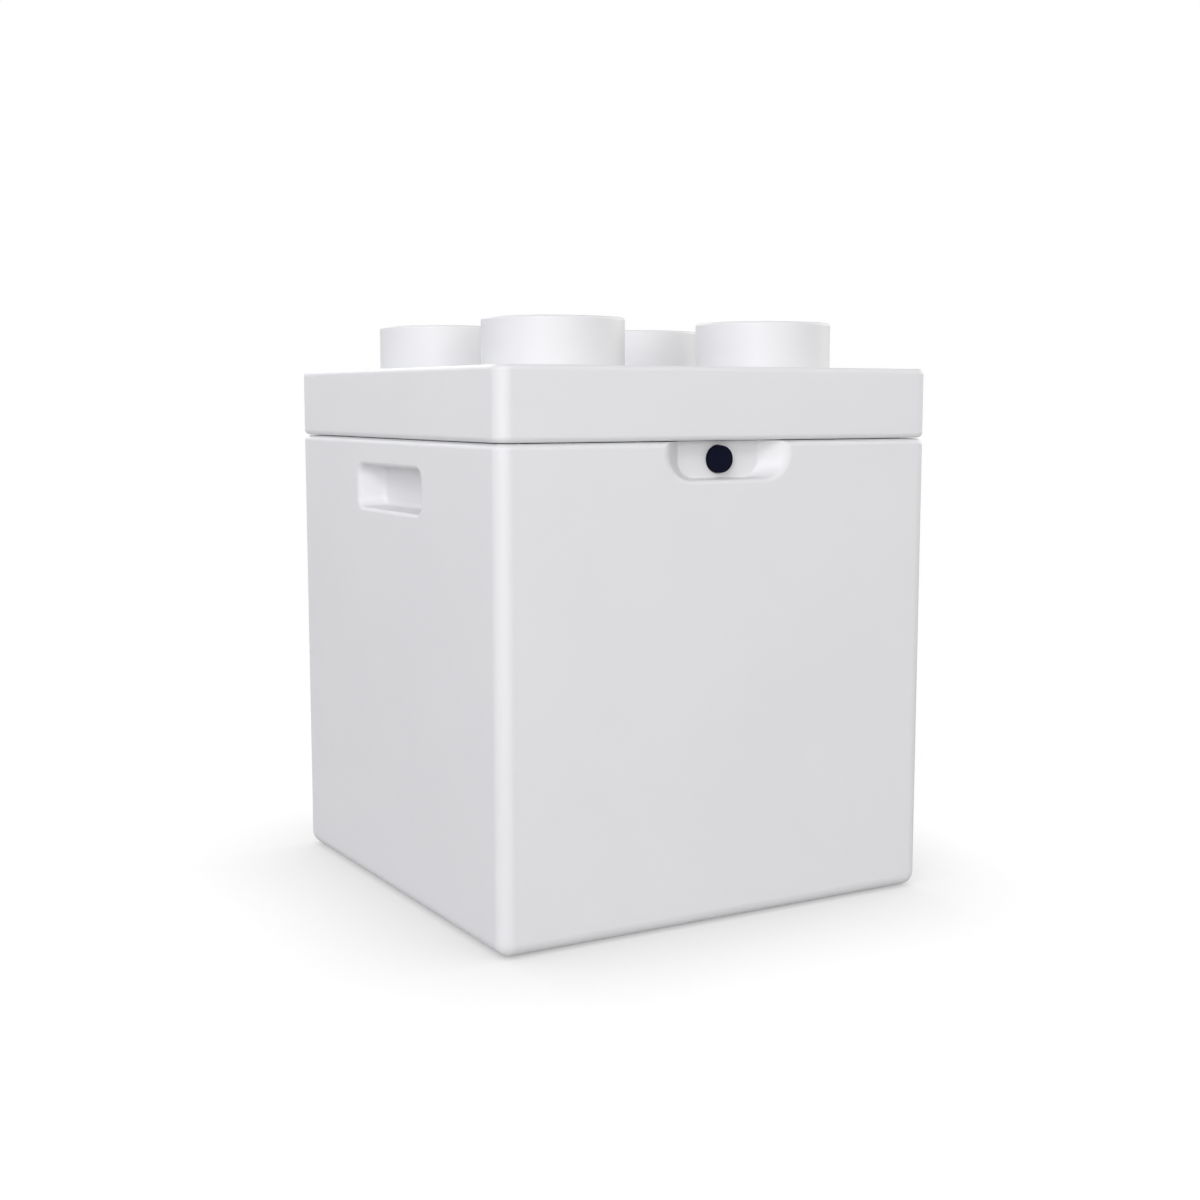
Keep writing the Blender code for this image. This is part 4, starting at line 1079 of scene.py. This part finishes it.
@dataclass(frozen=True)
class Catch:
    """The push-button, its slider with magnets and springs, their tray and the keeper."""

    wall: float = 0.0035
    travel: float = 0.005
    button_radius: float = 0.0106
    button_height: float = 0.3682
    button_proud: float = 0.006
    button_edge: float = 0.0012
    button_steps: int = 96
    button_bore: float = 0.0053
    button_screw_length: float = 0.012
    collar_width: float = 0.0018
    collar_thickness: float = 0.002
    stem_radius: float = 0.005
    screw_spacing: float = 0.100
    screw_length: float = 0.009
    screw_hole_depth: float = 0.0068
    boss_radius: float = 0.005
    tray_wall: float = 0.0025
    tray_corner: float = 0.001
    tray_soften: float = 0.0002
    ear_height: float = 0.014
    ear_corner: float = 0.004
    peg_radius: float = 0.0018
    peg_length: float = 0.003
    slider_soften: float = 0.0003
    magnet_edge: float = 0.0004
    magnet_pocket_radius: float = 0.0053
    magnet_pocket_depth: float = 0.0043
    spring_seat_radius: float = 0.00375
    spring_seat_depth: float = 0.0025
    spring_radius: float = 0.003
    spring_turns: int = 6
    spring_steps: int = 28
    wire_radius: float = 0.00035
    wire_sides: int = 12
    keeper_behind: float = 0.0014
    keeper_depth: float = 0.018
    keeper_thickness: float = 0.0015
    keeper_corner: float = 0.002
    keeper_soften: float = 0.00012
    keeper_screw_spacing: float = 0.020
    keeper_screw_length: float = 0.009
    leg_offset: float = 0.022
    leg_width: float = 0.010
    fold_share: float = 0.6

    @property
    def recess_back(self) -> float:
        """Y of the back of the finger recess."""
        return FORM.front + RECESS.depth

    @property
    def latch_wall(self) -> float:
        """Y of the inner side of the recess's wall."""
        return self.recess_back + self.wall

    @property
    def level(self) -> float:
        """The height of the middle of the latch."""
        return middle_of("latch_slider").z

    def keeper_screw(self, sign: int) -> tuple[float, float]:
        """X and Y of the left (-1) or the right (1) screw of the keeper."""
        y = self.latch_wall + self.keeper_behind + (self.keeper_depth + self.keeper_thickness) / 2
        return sign * self.keeper_screw_spacing / 2, y

    def keeper(self) -> bpy.types.Mesh:
        """The folded steel plate with its two legs.

        Returns:
            The mesh.
        """
        low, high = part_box("keeper")
        thick = self.keeper_thickness
        tall = high.z - low.z
        centre = ((low.x + high.x) / 2, (low.y + high.y) / 2, high.z - thick / 2)
        size = (high.x - low.x, high.y - low.y, thick)
        keeper = Solid(rounded_box(size, centre, self.keeper_corner))
        for sign in SIDES.values():
            centre = (sign * self.leg_offset, low.y + thick / 2, low.z + tall / 2)
            leg = box((self.leg_width, thick, tall), centre)
            round_off(leg, long_edges(level_edges(leg, 2, low.z), 1, thick / 2), self.keeper_corner)
            front = level_edges(leg, 1, low.y)
            fold = [e for e in level_edges(leg, 2, high.z) if e in front]
            round_off(leg, fold, thick * self.fold_share)
            keeper.join(leg)
            x, y = self.keeper_screw(sign)
            keeper.cut(countersink(thick + CUT_OVERRUN, aimed((x, y, high.z - thick), (0, 0, -1))))
        return keeper.mesh(self.keeper_soften)

    def tray(self) -> bpy.types.Mesh:
        """The open-fronted tray that guides the slider.

        Returns:
            The mesh.
        """
        level, run, wall = self.level, FORM.running_gap, self.tray_wall
        low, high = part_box("latch_slider")
        near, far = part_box("latch_housing")
        wide = high.x - low.x + 2 * run
        tall = high.z - low.z + 2 * run
        front = near.y
        size = (wide + 2 * wall, far.y - front, tall + 2 * wall)
        tray = Solid(rounded_box(size, (0, (front + far.y) / 2, level), self.tray_corner, steps=3))
        ears = rounded_box((far.x - near.x, self.ear_height, wall), (0, 0, 0), self.ear_corner)
        bmesh.ops.rotate(ears, matrix=Matrix.Rotation(math.pi / 2, 3, "X"), verts=ears.verts)
        bmesh.ops.translate(ears, vec=(0, front + wall / 2, level), verts=ears.verts)
        tray.join(ears)
        inside = far.y - wall
        deep = inside - front + CUT_OVERRUN
        tray.cut(box((wide, deep, tall), (0, inside - deep / 2, level)))
        mouth = low.y - run - front + CUT_OVERRUN
        tray.cut(box((wide, mouth, tall), (0, low.y - run - mouth / 2, level + tall / 2)))
        wide = 2 * (self.button_radius + self.collar_width + run)
        end = self.latch_wall + FORM.seat_gap + self.collar_thickness + self.travel + run
        slot = end - front + CUT_OVERRUN
        tray.cut(box((wide, slot, tall), (0, end - slot / 2, level + tall / 2)))
        for side, sign in SIDES.items():
            place = aimed((middle_of(f"latch_spring_{side}").x, inside, level), (0, -1, 0))
            tray.join(rod(self.peg_radius, -wall / 2, self.peg_length, place))
            hole = aimed((sign * self.screw_spacing / 2, front + wall, level), (0, 1, 0))
            tray.cut(rod(FORM.screw_hole, -wall - CUT_OVERRUN, CUT_OVERRUN, hole, SMALL_ROUND_STEPS))
        return tray.mesh(self.tray_soften)

    def slider(self) -> bpy.types.Mesh:
        """The plate behind the button, with pockets for magnets and springs.

        Returns:
            The mesh.
        """
        low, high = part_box("latch_slider")
        size = high - low
        slider = Solid(box(size, (low + high) / 2))
        for side in SIDES:
            magnet = middle_of(f"latch_magnet_{side}")
            place = aimed((magnet.x, low.y, magnet.z), (0, -1, 0))
            slider.cut(rod(self.magnet_pocket_radius, -self.magnet_pocket_depth, CUT_OVERRUN, place))
            place = aimed((middle_of(f"latch_spring_{side}").x, high.y, magnet.z), (0, 1, 0))
            deep = self.spring_seat_depth
            slider.cut(rod(self.spring_seat_radius, -deep, CUT_OVERRUN, place, SMALL_ROUND_STEPS))
        place = aimed((0, high.y, self.button_height), (0, 1, 0))
        slider.cut(rod(FORM.screw_hole, -size.y - CUT_OVERRUN, CUT_OVERRUN, place, SMALL_ROUND_STEPS))
        return slider.mesh(self.slider_soften)

    def spring(self, side: str) -> bpy.types.Mesh:
        """One coil spring, wound as a helix about Y.

        Args:
            side: left or right.

        Returns:
            The mesh.
        """
        low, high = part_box(f"latch_spring_{side}")
        middle = (low + high) / 2
        start = low.y + self.wire_radius
        length = high.y - low.y - 2 * self.wire_radius
        count = self.spring_turns * self.spring_steps
        shape = bmesh.new()
        place = upright(middle.x + self.spring_radius, start, middle.z)
        ring = bmesh.ops.create_circle(
            shape, cap_ends=True, radius=self.wire_radius, segments=self.wire_sides, matrix=place
        )["verts"]
        bmesh.ops.spin(
            shape, geom=shape.faces[:] + shape.edges[:] + ring, cent=(middle.x, start, middle.z),
            axis=(0, 1, 0), dvec=(0, length / count, 0), angle=math.tau * self.spring_turns,
            steps=count, use_merge=False, use_duplicate=False,
        )
        bmesh.ops.recalc_face_normals(shape, faces=shape.faces)
        return Solid(shape).mesh()

    def button(self) -> bpy.types.Mesh:
        """The flat round cap with its inner collar, its stem and its screw's bore.

        Returns:
            The mesh.
        """
        front = self.recess_back - self.button_proud
        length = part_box("release_button")[1].y - front
        radius, stem, bore = self.button_radius, self.stem_radius, FORM.screw_hole
        wide = radius + self.collar_width
        collar = self.latch_wall + FORM.seat_gap - front
        end = -collar - self.collar_thickness
        profile = [(0, 0)] + [(radius - inward, -down) for inward, down in quarter(self.button_edge)]
        profile += [(radius, -collar), (wide, -collar), (wide, end), (stem, end), (stem, -length)]
        profile += [(bore, -length), (bore, -length + self.button_bore), (0, -length + self.button_bore)]
        place = aimed((0, front, self.button_height), (0, -1, 0))
        return Solid(turned(profile, place, self.button_steps)).mesh()

    def magnet(self, side: str) -> bpy.types.Mesh:
        """One disc magnet with softened edges.

        Args:
            side: left or right.

        Returns:
            The mesh.
        """
        low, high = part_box(f"latch_magnet_{side}")
        middle = (low + high) / 2
        radius = (high.z - low.z) / 2
        length = high.y - low.y
        rounding = quarter(self.magnet_edge, SMALL_ARC_STEPS)
        profile = [(0, 0)] + [(radius - inward, -down) for inward, down in rounding]
        profile += [(radius - inward, down - length) for inward, down in reversed(rounding)]
        place = aimed((middle.x, low.y, middle.z), (0, -1, 0))
        return Solid(turned(profile + [(0, -length)], place)).mesh()

    def build(self) -> None:
        """Models every piece of the catch and publishes it."""
        publish("folded_keeper", self.keeper(), Body.LID, Slot.ZINC_STEEL, "keeper")
        publish("latch_tray", self.tray(), Body.BOX, Slot.GREY_PLASTIC, "latch_housing")
        publish("slide_plate", self.slider(), Body.BUTTON, Slot.GREY_PLASTIC, "latch_slider")
        publish("push_button", self.button(), Body.BUTTON, Slot.BLACK_PLASTIC, "release_button")
        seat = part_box("latch_housing")[0].y + self.tray_wall + FORM.seat_gap
        keeper_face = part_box("keeper")[1].z - self.keeper_thickness
        for side, sign in SIDES.items():
            node = f"latch_spring_{side}"
            coil = publish(f"coil_{node}", self.spring(side), Body.BOX, Slot.SPRING_STEEL, node)
            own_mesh(coil)
            node = f"latch_magnet_{side}"
            publish(f"disc_{node}", self.magnet(side), Body.BUTTON, Slot.NICKEL, node)
            place = aimed((sign * self.screw_spacing / 2, seat, self.level), (0, 1, 0))
            Screw(Head.PAN, self.screw_length).drive(f"latch_screw_{side}", place, Body.BOX)
            place = aimed((*self.keeper_screw(sign), keeper_face), (0, 0, -1))
            Screw(Head.FLAT, self.keeper_screw_length).drive(f"keeper_screw_{side}", place, Body.LID)
        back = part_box("latch_slider")[1].y + FORM.seat_gap
        place = aimed((0, back, self.button_height), (0, 1, 0))
        Screw(Head.PAN, self.button_screw_length).drive("button_screw", place, Body.BUTTON)


CATCH = Catch()


@dataclass(frozen=True)
class Tub:
    """The moulded body: an open tub with pockets, a recess, sockets and bosses."""

    wall: float = 0.0035
    floor: float = 0.0035
    rim_width: float = 0.009
    rim_height: float = 0.010
    bead_inset: float = 0.0047
    bead_height: float = 0.0005
    bead_edge: float = 0.0002
    bead_steps: int = 3
    base_radius: float = 0.012
    boss_edge: float = 0.0008
    hole_edge: float = 0.0005

    def outside(self) -> BMesh:
        """The closed outer form, with a low step on its rim that closes half of the seam.

        Returns:
            The mesh.
        """
        base, top = FORM.body_bottom, FORM.body_top
        levels = [(inward, base + up) for inward, up in quarter(self.base_radius)]
        levels += [(inward, top - down) for inward, down in reversed(quarter(FORM.seam_radius))]
        levels.append((self.bead_inset, top))
        for inward, down in reversed(quarter(self.bead_edge, self.bead_steps)):
            levels.append((self.bead_inset + inward, top + self.bead_height - down))
        return stacked(levels)

    def room(self) -> Solid:
        """The inner room, less the cases and bosses that stand in it.

        Returns:
            The solid.
        """
        floor = FORM.body_bottom + self.floor
        shelf = FORM.body_top - self.rim_height
        corner = quarter(self.base_radius - self.wall)
        levels = [(self.wall + inward, floor + up) for inward, up in corner]
        levels += [(self.wall, shelf - (self.rim_width - self.wall)), (self.rim_width, shelf)]
        levels.append((self.rim_width, FORM.body_top + CUT_OVERRUN))
        room = Solid(stacked(levels))
        room.cut(RECESS.case(self.wall))
        start = FORM.front + self.wall / 2
        seat = CATCH.latch_wall + FORM.seat_gap
        for sign in SIDES.values():
            room.cut(Pocket(sign).case(self.wall), HINGES.boss(sign, -1))
            place = aimed((sign * CATCH.screw_spacing / 2, start, CATCH.level), (0, 1, 0))
            room.cut(rod(CATCH.boss_radius, 0, seat - FORM.front - self.wall / 2, place))
        for _, x, y in FEET.places():
            room.cut(self.foot_boss(x, y))
        return room

    def foot_boss(self, x: float, y: float) -> BMesh:
        """The stepped boss over a foot's socket.

        Args:
            x: X of the foot.
            y: Y of the foot.

        Returns:
            The mesh.
        """
        wide = FEET.radius + FORM.seat_gap + self.wall
        step = FEET.thickness + FORM.seat_gap + self.floor
        top = FEET.counterbore + FEET.screw_length + self.floor
        base = FORM.body_bottom + self.floor / 2
        narrow = FEET.boss_radius
        soft = self.boss_edge
        profile = [(0, base), (wide, base), (wide, step - soft), (wide - soft, step), (narrow, step)]
        return turned(profile + [(narrow, top - soft), (narrow - soft, top), (0, top)], upright(x, y))

    def foot_socket(self, x: float, y: float) -> BMesh:
        """The room for a foot and its screw.

        Args:
            x: X of the foot.
            y: Y of the foot.

        Returns:
            The cutter.
        """
        wide = FEET.radius + FORM.seat_gap
        roof = FEET.thickness + FORM.seat_gap
        end = FEET.counterbore + FEET.screw_length
        low = -CUT_OVERRUN
        narrow = FORM.screw_hole
        profile = [(0, low), (wide, low), (wide, roof), (narrow, roof), (narrow, end), (0, end)]
        return turned(profile, upright(x, y))

    def button_hole(self) -> BMesh:
        """The hole for the push-button, with a softened edge.

        Returns:
            The cutter.
        """
        radius = CATCH.button_radius + FORM.running_gap
        soft = self.hole_edge
        end = -self.wall - CUT_OVERRUN
        profile = [(0, end), (radius, end), (radius, -soft), (radius + soft, 0)]
        place = aimed((0, CATCH.recess_back, CATCH.button_height), (0, -1, 0))
        return turned(profile + [(radius + soft, CUT_OVERRUN), (0, CUT_OVERRUN)], place)

    def build(self) -> None:
        """Models the tub and publishes it."""
        shell = Solid(self.outside(), Solver.MANIFOLD)
        shell.cut(self.room(), RECESS.room(), self.button_hole())
        seat = CATCH.latch_wall + FORM.seat_gap
        for sign in SIDES.values():
            shell.cut(Pocket(sign).room())
            place = aimed((sign * CATCH.screw_spacing / 2, seat, CATCH.level), (0, -1, 0))
            deep = CATCH.screw_hole_depth
            shell.cut(rod(FORM.screw_hole, -CUT_OVERRUN, deep, place, SMALL_ROUND_STEPS))
        for _, x, y in FEET.places():
            shell.cut(self.foot_socket(x, y))
        tall = 4 * CUT_OVERRUN
        shell.cut(*CUSHIONS.sockets(FORM.body_top + tall / 2, tall), *HINGES.seats(-1))
        publish("tub_moulding", shell.mesh(), Body.BOX, Slot.WHITE_PLASTIC, "body_shell")


@dataclass(frozen=True)
class Lid:
    """The moulded lid with its four hollow studs."""

    wall: float = 0.003
    rim_width: float = 0.0085
    rim_height: float = 0.008
    edge_radius: float = 0.0045
    inner_radius: float = 0.0015
    stud_radius: float = 0.0567
    stud_height: float = 0.0383
    stud_spacing: float = 0.202
    stud_edge: float = 0.0025
    stud_foot: float = 0.0006
    stud_steps: int = 128
    post_radius: float = 0.005
    post_inset: float = 0.028
    bumper_socket: float = 0.0015
    liner_thickness: float = 0.003
    liner_screw_length: float = 0.012

    def posts(self) -> Iterable[tuple[str, float, float]]:
        """Finds the posts that the liner is screwed to.

        Returns:
            Name, X and Y of each post.
        """
        for end, way in (("front", -1), ("middle", 0), ("back", 1)):
            for side, sign in SIDES.items():
                x = sign * (FORM.width / 2 - self.post_inset)
                yield f"{end}_{side}", x, way * (FORM.depth / 2 - self.post_inset)

    def room(self) -> Solid:
        """The lid's hollow, less its posts and hinge bosses.

        Returns:
            The solid.
        """
        base = FORM.lid_bottom
        roof = FORM.lid_top - self.wall
        levels = [(self.rim_width, base - CUT_OVERRUN), (self.rim_width, base + self.rim_height)]
        levels.append((self.wall, base + self.rim_height + self.rim_width - self.wall))
        corner = reversed(quarter(self.inner_radius))
        levels += [(self.wall + inward, roof - down) for inward, down in corner]
        room = Solid(stacked(levels))
        low = base + self.liner_thickness + FORM.seat_gap
        for _, x, y in self.posts():
            room.cut(rod(self.post_radius, low, FORM.lid_top, upright(x, y)))
        room.cut(*[HINGES.boss(sign, 1) for sign in SIDES.values()])
        return room

    def stud(self, x: float, y: float) -> BMesh:
        """The outer form of one stud, with a soft edge and a tiny fillet at its foot.

        Args:
            x: X of its middle.
            y: Y of its middle.

        Returns:
            The mesh.
        """
        low = FORM.lid_top - self.wall / 2
        foot = FORM.lid_top - HAIR
        top = FORM.lid_top + self.stud_height
        wide = self.stud_radius
        points = [(0, low), (wide + self.stud_foot, low)]
        points += [(wide + out, foot + up) for out, up in quarter(self.stud_foot, SMALL_ARC_STEPS)]
        points += [(wide - inward, top - down) for inward, down in reversed(quarter(self.stud_edge))]
        return turned(points + [(0, top)], upright(x, y), self.stud_steps)

    def build(self) -> None:
        """Models the lid and publishes it."""
        tall = FORM.lid_top - FORM.lid_bottom
        size = (FORM.width, FORM.depth, tall)
        centre = (0, 0, FORM.lid_bottom + tall / 2)
        block = rounded_box(size, centre, FORM.corner_radius, FORM.seam_radius, self.edge_radius)
        shell = Solid(block, Solver.MANIFOLD)
        half = self.stud_spacing / 2
        spots = [(sign * half, way * half) for sign in (-1, 1) for way in (-1, 1)]
        shell.join(*[self.stud(x, y) for x, y in spots])
        shell.cut(self.room())
        low = FORM.lid_top - self.wall - CUT_OVERRUN
        high = FORM.lid_top + self.stud_height - self.wall
        for x, y in spots:
            shell.cut(rod(self.stud_radius - self.wall, low, high, upright(x, y), self.stud_steps))
        end = self.liner_screw_length + FORM.seat_gap
        for _, x, y in self.posts():
            place = upright(x, y, FORM.lid_bottom)
            shell.cut(rod(FORM.screw_hole, -CUT_OVERRUN, end, place, SMALL_ROUND_STEPS))
        middle = FORM.lid_bottom + (self.bumper_socket - CUT_OVERRUN) / 2
        shell.cut(*CUSHIONS.sockets(middle, self.bumper_socket + CUT_OVERRUN), *HINGES.seats(1))
        publish("lid_moulding", shell.mesh(), Body.LID, Slot.WHITE_PLASTIC, "lid_shell")


LID = Lid()


@dataclass(frozen=True)
class Liner:
    """The panel that closes the lid's underside, with its screws."""

    pad_margin: float = 0.004
    pad_height: float = 0.007
    edge_radius: float = 0.0005

    def build(self) -> None:
        """Models the panel and its screws and publishes them."""
        gap = FORM.seat_gap
        base = FORM.lid_bottom
        thick = LID.liner_thickness
        inset = LID.rim_width + gap
        corner = quarter(self.edge_radius, SMALL_ARC_STEPS)
        levels = [(inset + inward, base + up) for inward, up in corner]
        panel = Solid(stacked(levels + [(inset, base + thick)]))
        low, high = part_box("keeper")
        tall = self.pad_height + thick / 2
        size = (high.x - low.x + 2 * self.pad_margin, high.y - low.y, tall)
        panel.join(box(size, (0, (low.y + high.y) / 2, base + thick / 2 + tall / 2)))
        wide = HINGES.length + 2 * (HINGES.boss_margin + gap)
        deep = HINGES.leaf_width + HINGES.boss_margin + gap
        for sign in SIDES.values():
            spot = (sign * HINGES.middle, HINGES.axis_y - deep / 2, base)
            panel.cut(box((wide, deep, 4 * thick), spot))
            place = upright(*CATCH.keeper_screw(sign), base)
            end = CATCH.keeper_screw_length
            panel.cut(rod(FORM.screw_hole, -CUT_OVERRUN, end, place, SMALL_ROUND_STEPS))
        for name, x, y in LID.posts():
            place = aimed((x, y, base), (0, 0, -1))
            panel.cut(countersink(thick + CUT_OVERRUN, place))
            Screw(Head.FLAT, LID.liner_screw_length).drive(f"liner_screw_{name}", place, Body.LID)
        publish("liner_panel", panel.mesh(), Body.LID, Slot.LINER_PLASTIC, "lid_liner")


# Studio


@dataclass(frozen=True)
class Lamp:
    """One soft rectangular lamp that looks at the box from a distance.

    Its heading runs from the front round to the left, in degrees, and its
    elevation up from the floor.
    """

    name: str
    heading: float
    elevation: float
    width: float
    height: float
    power: float
    colour: str
    distance: float = 7.0
    target: tuple[float, float, float] = (0, 0, 0.24)

    @property
    def away(self) -> Vector:
        """From the middle of the box to the lamp.

        Returns:
            The vector.
        """
        heading = math.radians(self.heading)
        elevation = math.radians(self.elevation)
        level = self.distance * math.cos(elevation)
        up = self.distance * math.sin(elevation)
        return Vector((-level * math.sin(heading), -level * math.cos(heading), up))

    def build(self) -> None:
        """Adds the lamp to the scene."""
        light = bpy.data.lights.new(self.name, "AREA")
        light.shape = "RECTANGLE"
        light.size = self.width
        light.size_y = self.height
        light.energy = self.power
        light.color = linear(self.colour)[:3]
        lamp = bpy.data.objects.new(self.name, light)
        lamp.location = Vector(self.target) + self.away
        lamp.rotation_euler = self.away.to_track_quat("Z", "Y").to_euler()
        bpy.context.scene.collection.objects.link(lamp)


@dataclass(frozen=True)
class Studio:
    """The pale floor, the white surroundings, the soft lamps and the camera."""

    lamps: tuple[Lamp, ...] = (
        Lamp("front_softbox", 10, 8, 3.4, 2.2, 46, "#FFFCF6"),
        Lamp("low_corner_softbox", 45, 8, 2.8, 2.2, 82, "#FCFCFF"),
        Lamp("high_corner_softbox", 45, 35, 2.8, 2.5, 150, "#FCFCFF"),
        Lamp("left_window", 70, 20, 3.1, 2.8, 30, "#EAECFF"),
        Lamp("right_softbox", -94, 20, 3.6, 3.6, 132, "#FFFEFA"),
        Lamp("back_softbox", 180, 30, 3.6, 2.8, 85, "#FFFFFF"),
    )
    horizon_strength: float = 0.80
    zenith_strength: float = 0.29
    horizon_fade: tuple[float, float] = (0.35, 0.65)
    floor_reach: float = 12.0
    floor_colour: str = "#CBCBCB"
    # The paper's glow for the camera: a steady part, and a part that a painted contact shadow takes away
    # near the box
    floor_glow: float = 0.58
    painted_shadow_strength: float = 0.67
    floor_glow_share: float = 0.7
    floor_fade: tuple[float, float] = (0.55, 1.4)
    fibre_scale: float = 900.0
    fibre_depth: float = 0.0001
    # How far the painted contact shadow in the paper's glow reaches
    painted_shadow_reach: float = 0.16
    camera_position: tuple[float, float, float] = (-0.73795, -1.2686, 0.4128)
    camera_pitch: float = -6.778
    camera_heading: float = -30.208
    focal_pixels: float = 1670.6
    sensor_width: float = 36.0

    def surroundings(self) -> None:
        """White where the camera or a gloss sees it, dimmer where it lights the box.

        As a light it is bright round the horizon and dim overhead, like a room
        with pale walls and a dark ceiling.
        """
        world = bpy.data.worlds.new("white_surroundings")
        bpy.context.scene.world = world
        world.use_nodes = True
        tree = world.node_tree
        tree.nodes.clear()
        path = add_node(tree, "LightPath").outputs
        greater = {"operation": "MAXIMUM"}
        seen = add_node(tree, "Math", greater, {0: path["Is Camera Ray"], 1: path["Is Transmission Ray"]})
        mirrored = add_node(tree, "Math", greater, {0: seen, 1: path["Is Glossy Ray"]})
        direction = add_node(tree, "TexCoord").outputs["Generated"]
        height = add_node(tree, "SeparateXYZ", links={0: direction}).outputs["Z"]
        low, high = self.horizon_fade
        fade = {"From Min": low, "From Max": high}
        fade |= {"To Min": self.horizon_strength, "To Max": self.zenith_strength}
        light = add_node(tree, "MapRange", fade, {"Value": height})
        strength = add_node(tree, "MapRange", {"To Max": 1.0}, {"Value": mirrored, "To Min": light})
        white = {"Color": linear("#FFFFFF")}
        background = add_node(tree, "Background", white, {"Strength": strength})
        add_node(tree, "OutputWorld", links={"Surface": background})

    def paper(self) -> bpy.types.Material:
        """White paper that keeps part of the box's real shadow. For the camera it also glows, and that
        glow carries a painted contact shadow, dimmer where the box hides the paper; further off it glows
        to white.

        Returns:
            The material.
        """
        material = new_material("matt_white_paper")
        tree = material.node_tree
        place = add_node(tree, "TexCoord").outputs["Object"]
        camera = add_node(tree, "LightPath").outputs["Is Camera Ray"]
        fibre = add_node(tree, "TexNoise", {"Scale": self.fibre_scale, "Detail": 2.0}, {"Vector": place})
        bump = add_node(tree, "Bump", {"Strength": 0.3, "Distance": self.fibre_depth}, {"Height": fibre})
        matt = add_node(tree, "BsdfDiffuse", {"Color": linear(self.floor_colour)}, {"Normal": bump})
        # Painted contact shadow: the glow the camera sees dims where the box hides the paper; the diffuse
        # share keeps the real shadow
        painted_contact_shadow = add_node(tree, "AmbientOcclusion", {"samples": 16, "Distance": self.painted_shadow_reach})
        levels = {"operation": "MULTIPLY_ADD", 1: self.painted_shadow_strength, 2: self.floor_glow}
        glow = add_node(tree, "Math", levels, {0: painted_contact_shadow.outputs["AO"]})
        glow_with_painted_shadow = add_node(tree, "Emission", {"Color": linear("#FFFFFF")}, {"Strength": glow})
        part = {"operation": "MULTIPLY", 1: self.floor_glow_share}
        share = add_node(tree, "Math", part, {0: camera})
        near = add_node(tree, "MixShader", links={0: share, 1: matt, 2: glow_with_painted_shadow})
        distance = add_node(tree, "VectorMath", {"operation": "LENGTH"}, {0: place}).outputs["Value"]
        low, high = self.floor_fade
        fade = {"interpolation_type": "SMOOTHSTEP", "From Min": low, "From Max": high}
        away = add_node(tree, "MapRange", fade, {"Value": distance})
        seen = add_node(tree, "Math", {"operation": "MULTIPLY"}, {0: away, 1: camera})
        white = add_node(tree, "Emission", {"Color": linear("#FFFFFF"), "Strength": 1.0})
        both = add_node(tree, "MixShader", links={0: seen, 1: near, 2: white})
        add_node(tree, "OutputMaterial", links={"Surface": both})
        return material

    def floor(self) -> None:
        """A wide flat sweep of paper."""
        shape = bmesh.new()
        bmesh.ops.create_grid(shape, x_segments=1, y_segments=1, size=self.floor_reach)
        mesh = bpy.data.meshes.new("paper_floor")
        shape.to_mesh(mesh)
        shape.free()
        piece = bpy.data.objects.new("paper_floor", mesh)
        bpy.context.scene.collection.objects.link(piece)
        mesh.materials.append(self.paper())

    def camera(self) -> None:
        """The camera of the photograph, from its measured place and focal length."""
        data = bpy.data.cameras.new("camera")
        data.sensor_width = self.sensor_width
        data.lens = self.focal_pixels / PHOTO_SIDE * self.sensor_width
        camera = bpy.data.objects.new("camera", data)
        camera.location = self.camera_position
        pitch = math.radians(90 + self.camera_pitch)
        camera.rotation_euler = (pitch, 0, math.radians(self.camera_heading))
        bpy.context.scene.collection.objects.link(camera)
        bpy.context.scene.camera = camera

    def build(self) -> None:
        """Builds the whole studio."""
        bpy.context.scene.view_settings.view_transform = "Standard"
        self.surroundings()
        self.floor()
        for lamp in self.lamps:
            lamp.build()
        self.camera()


def main() -> None:
    """Builds every sub-assembly in order, then the studio."""
    for assembly in (Tub(), FEET, LID, Liner(), CUSHIONS, HINGES, CATCH, Studio()):
        assembly.build()


if __name__ == "__main__":
    main()
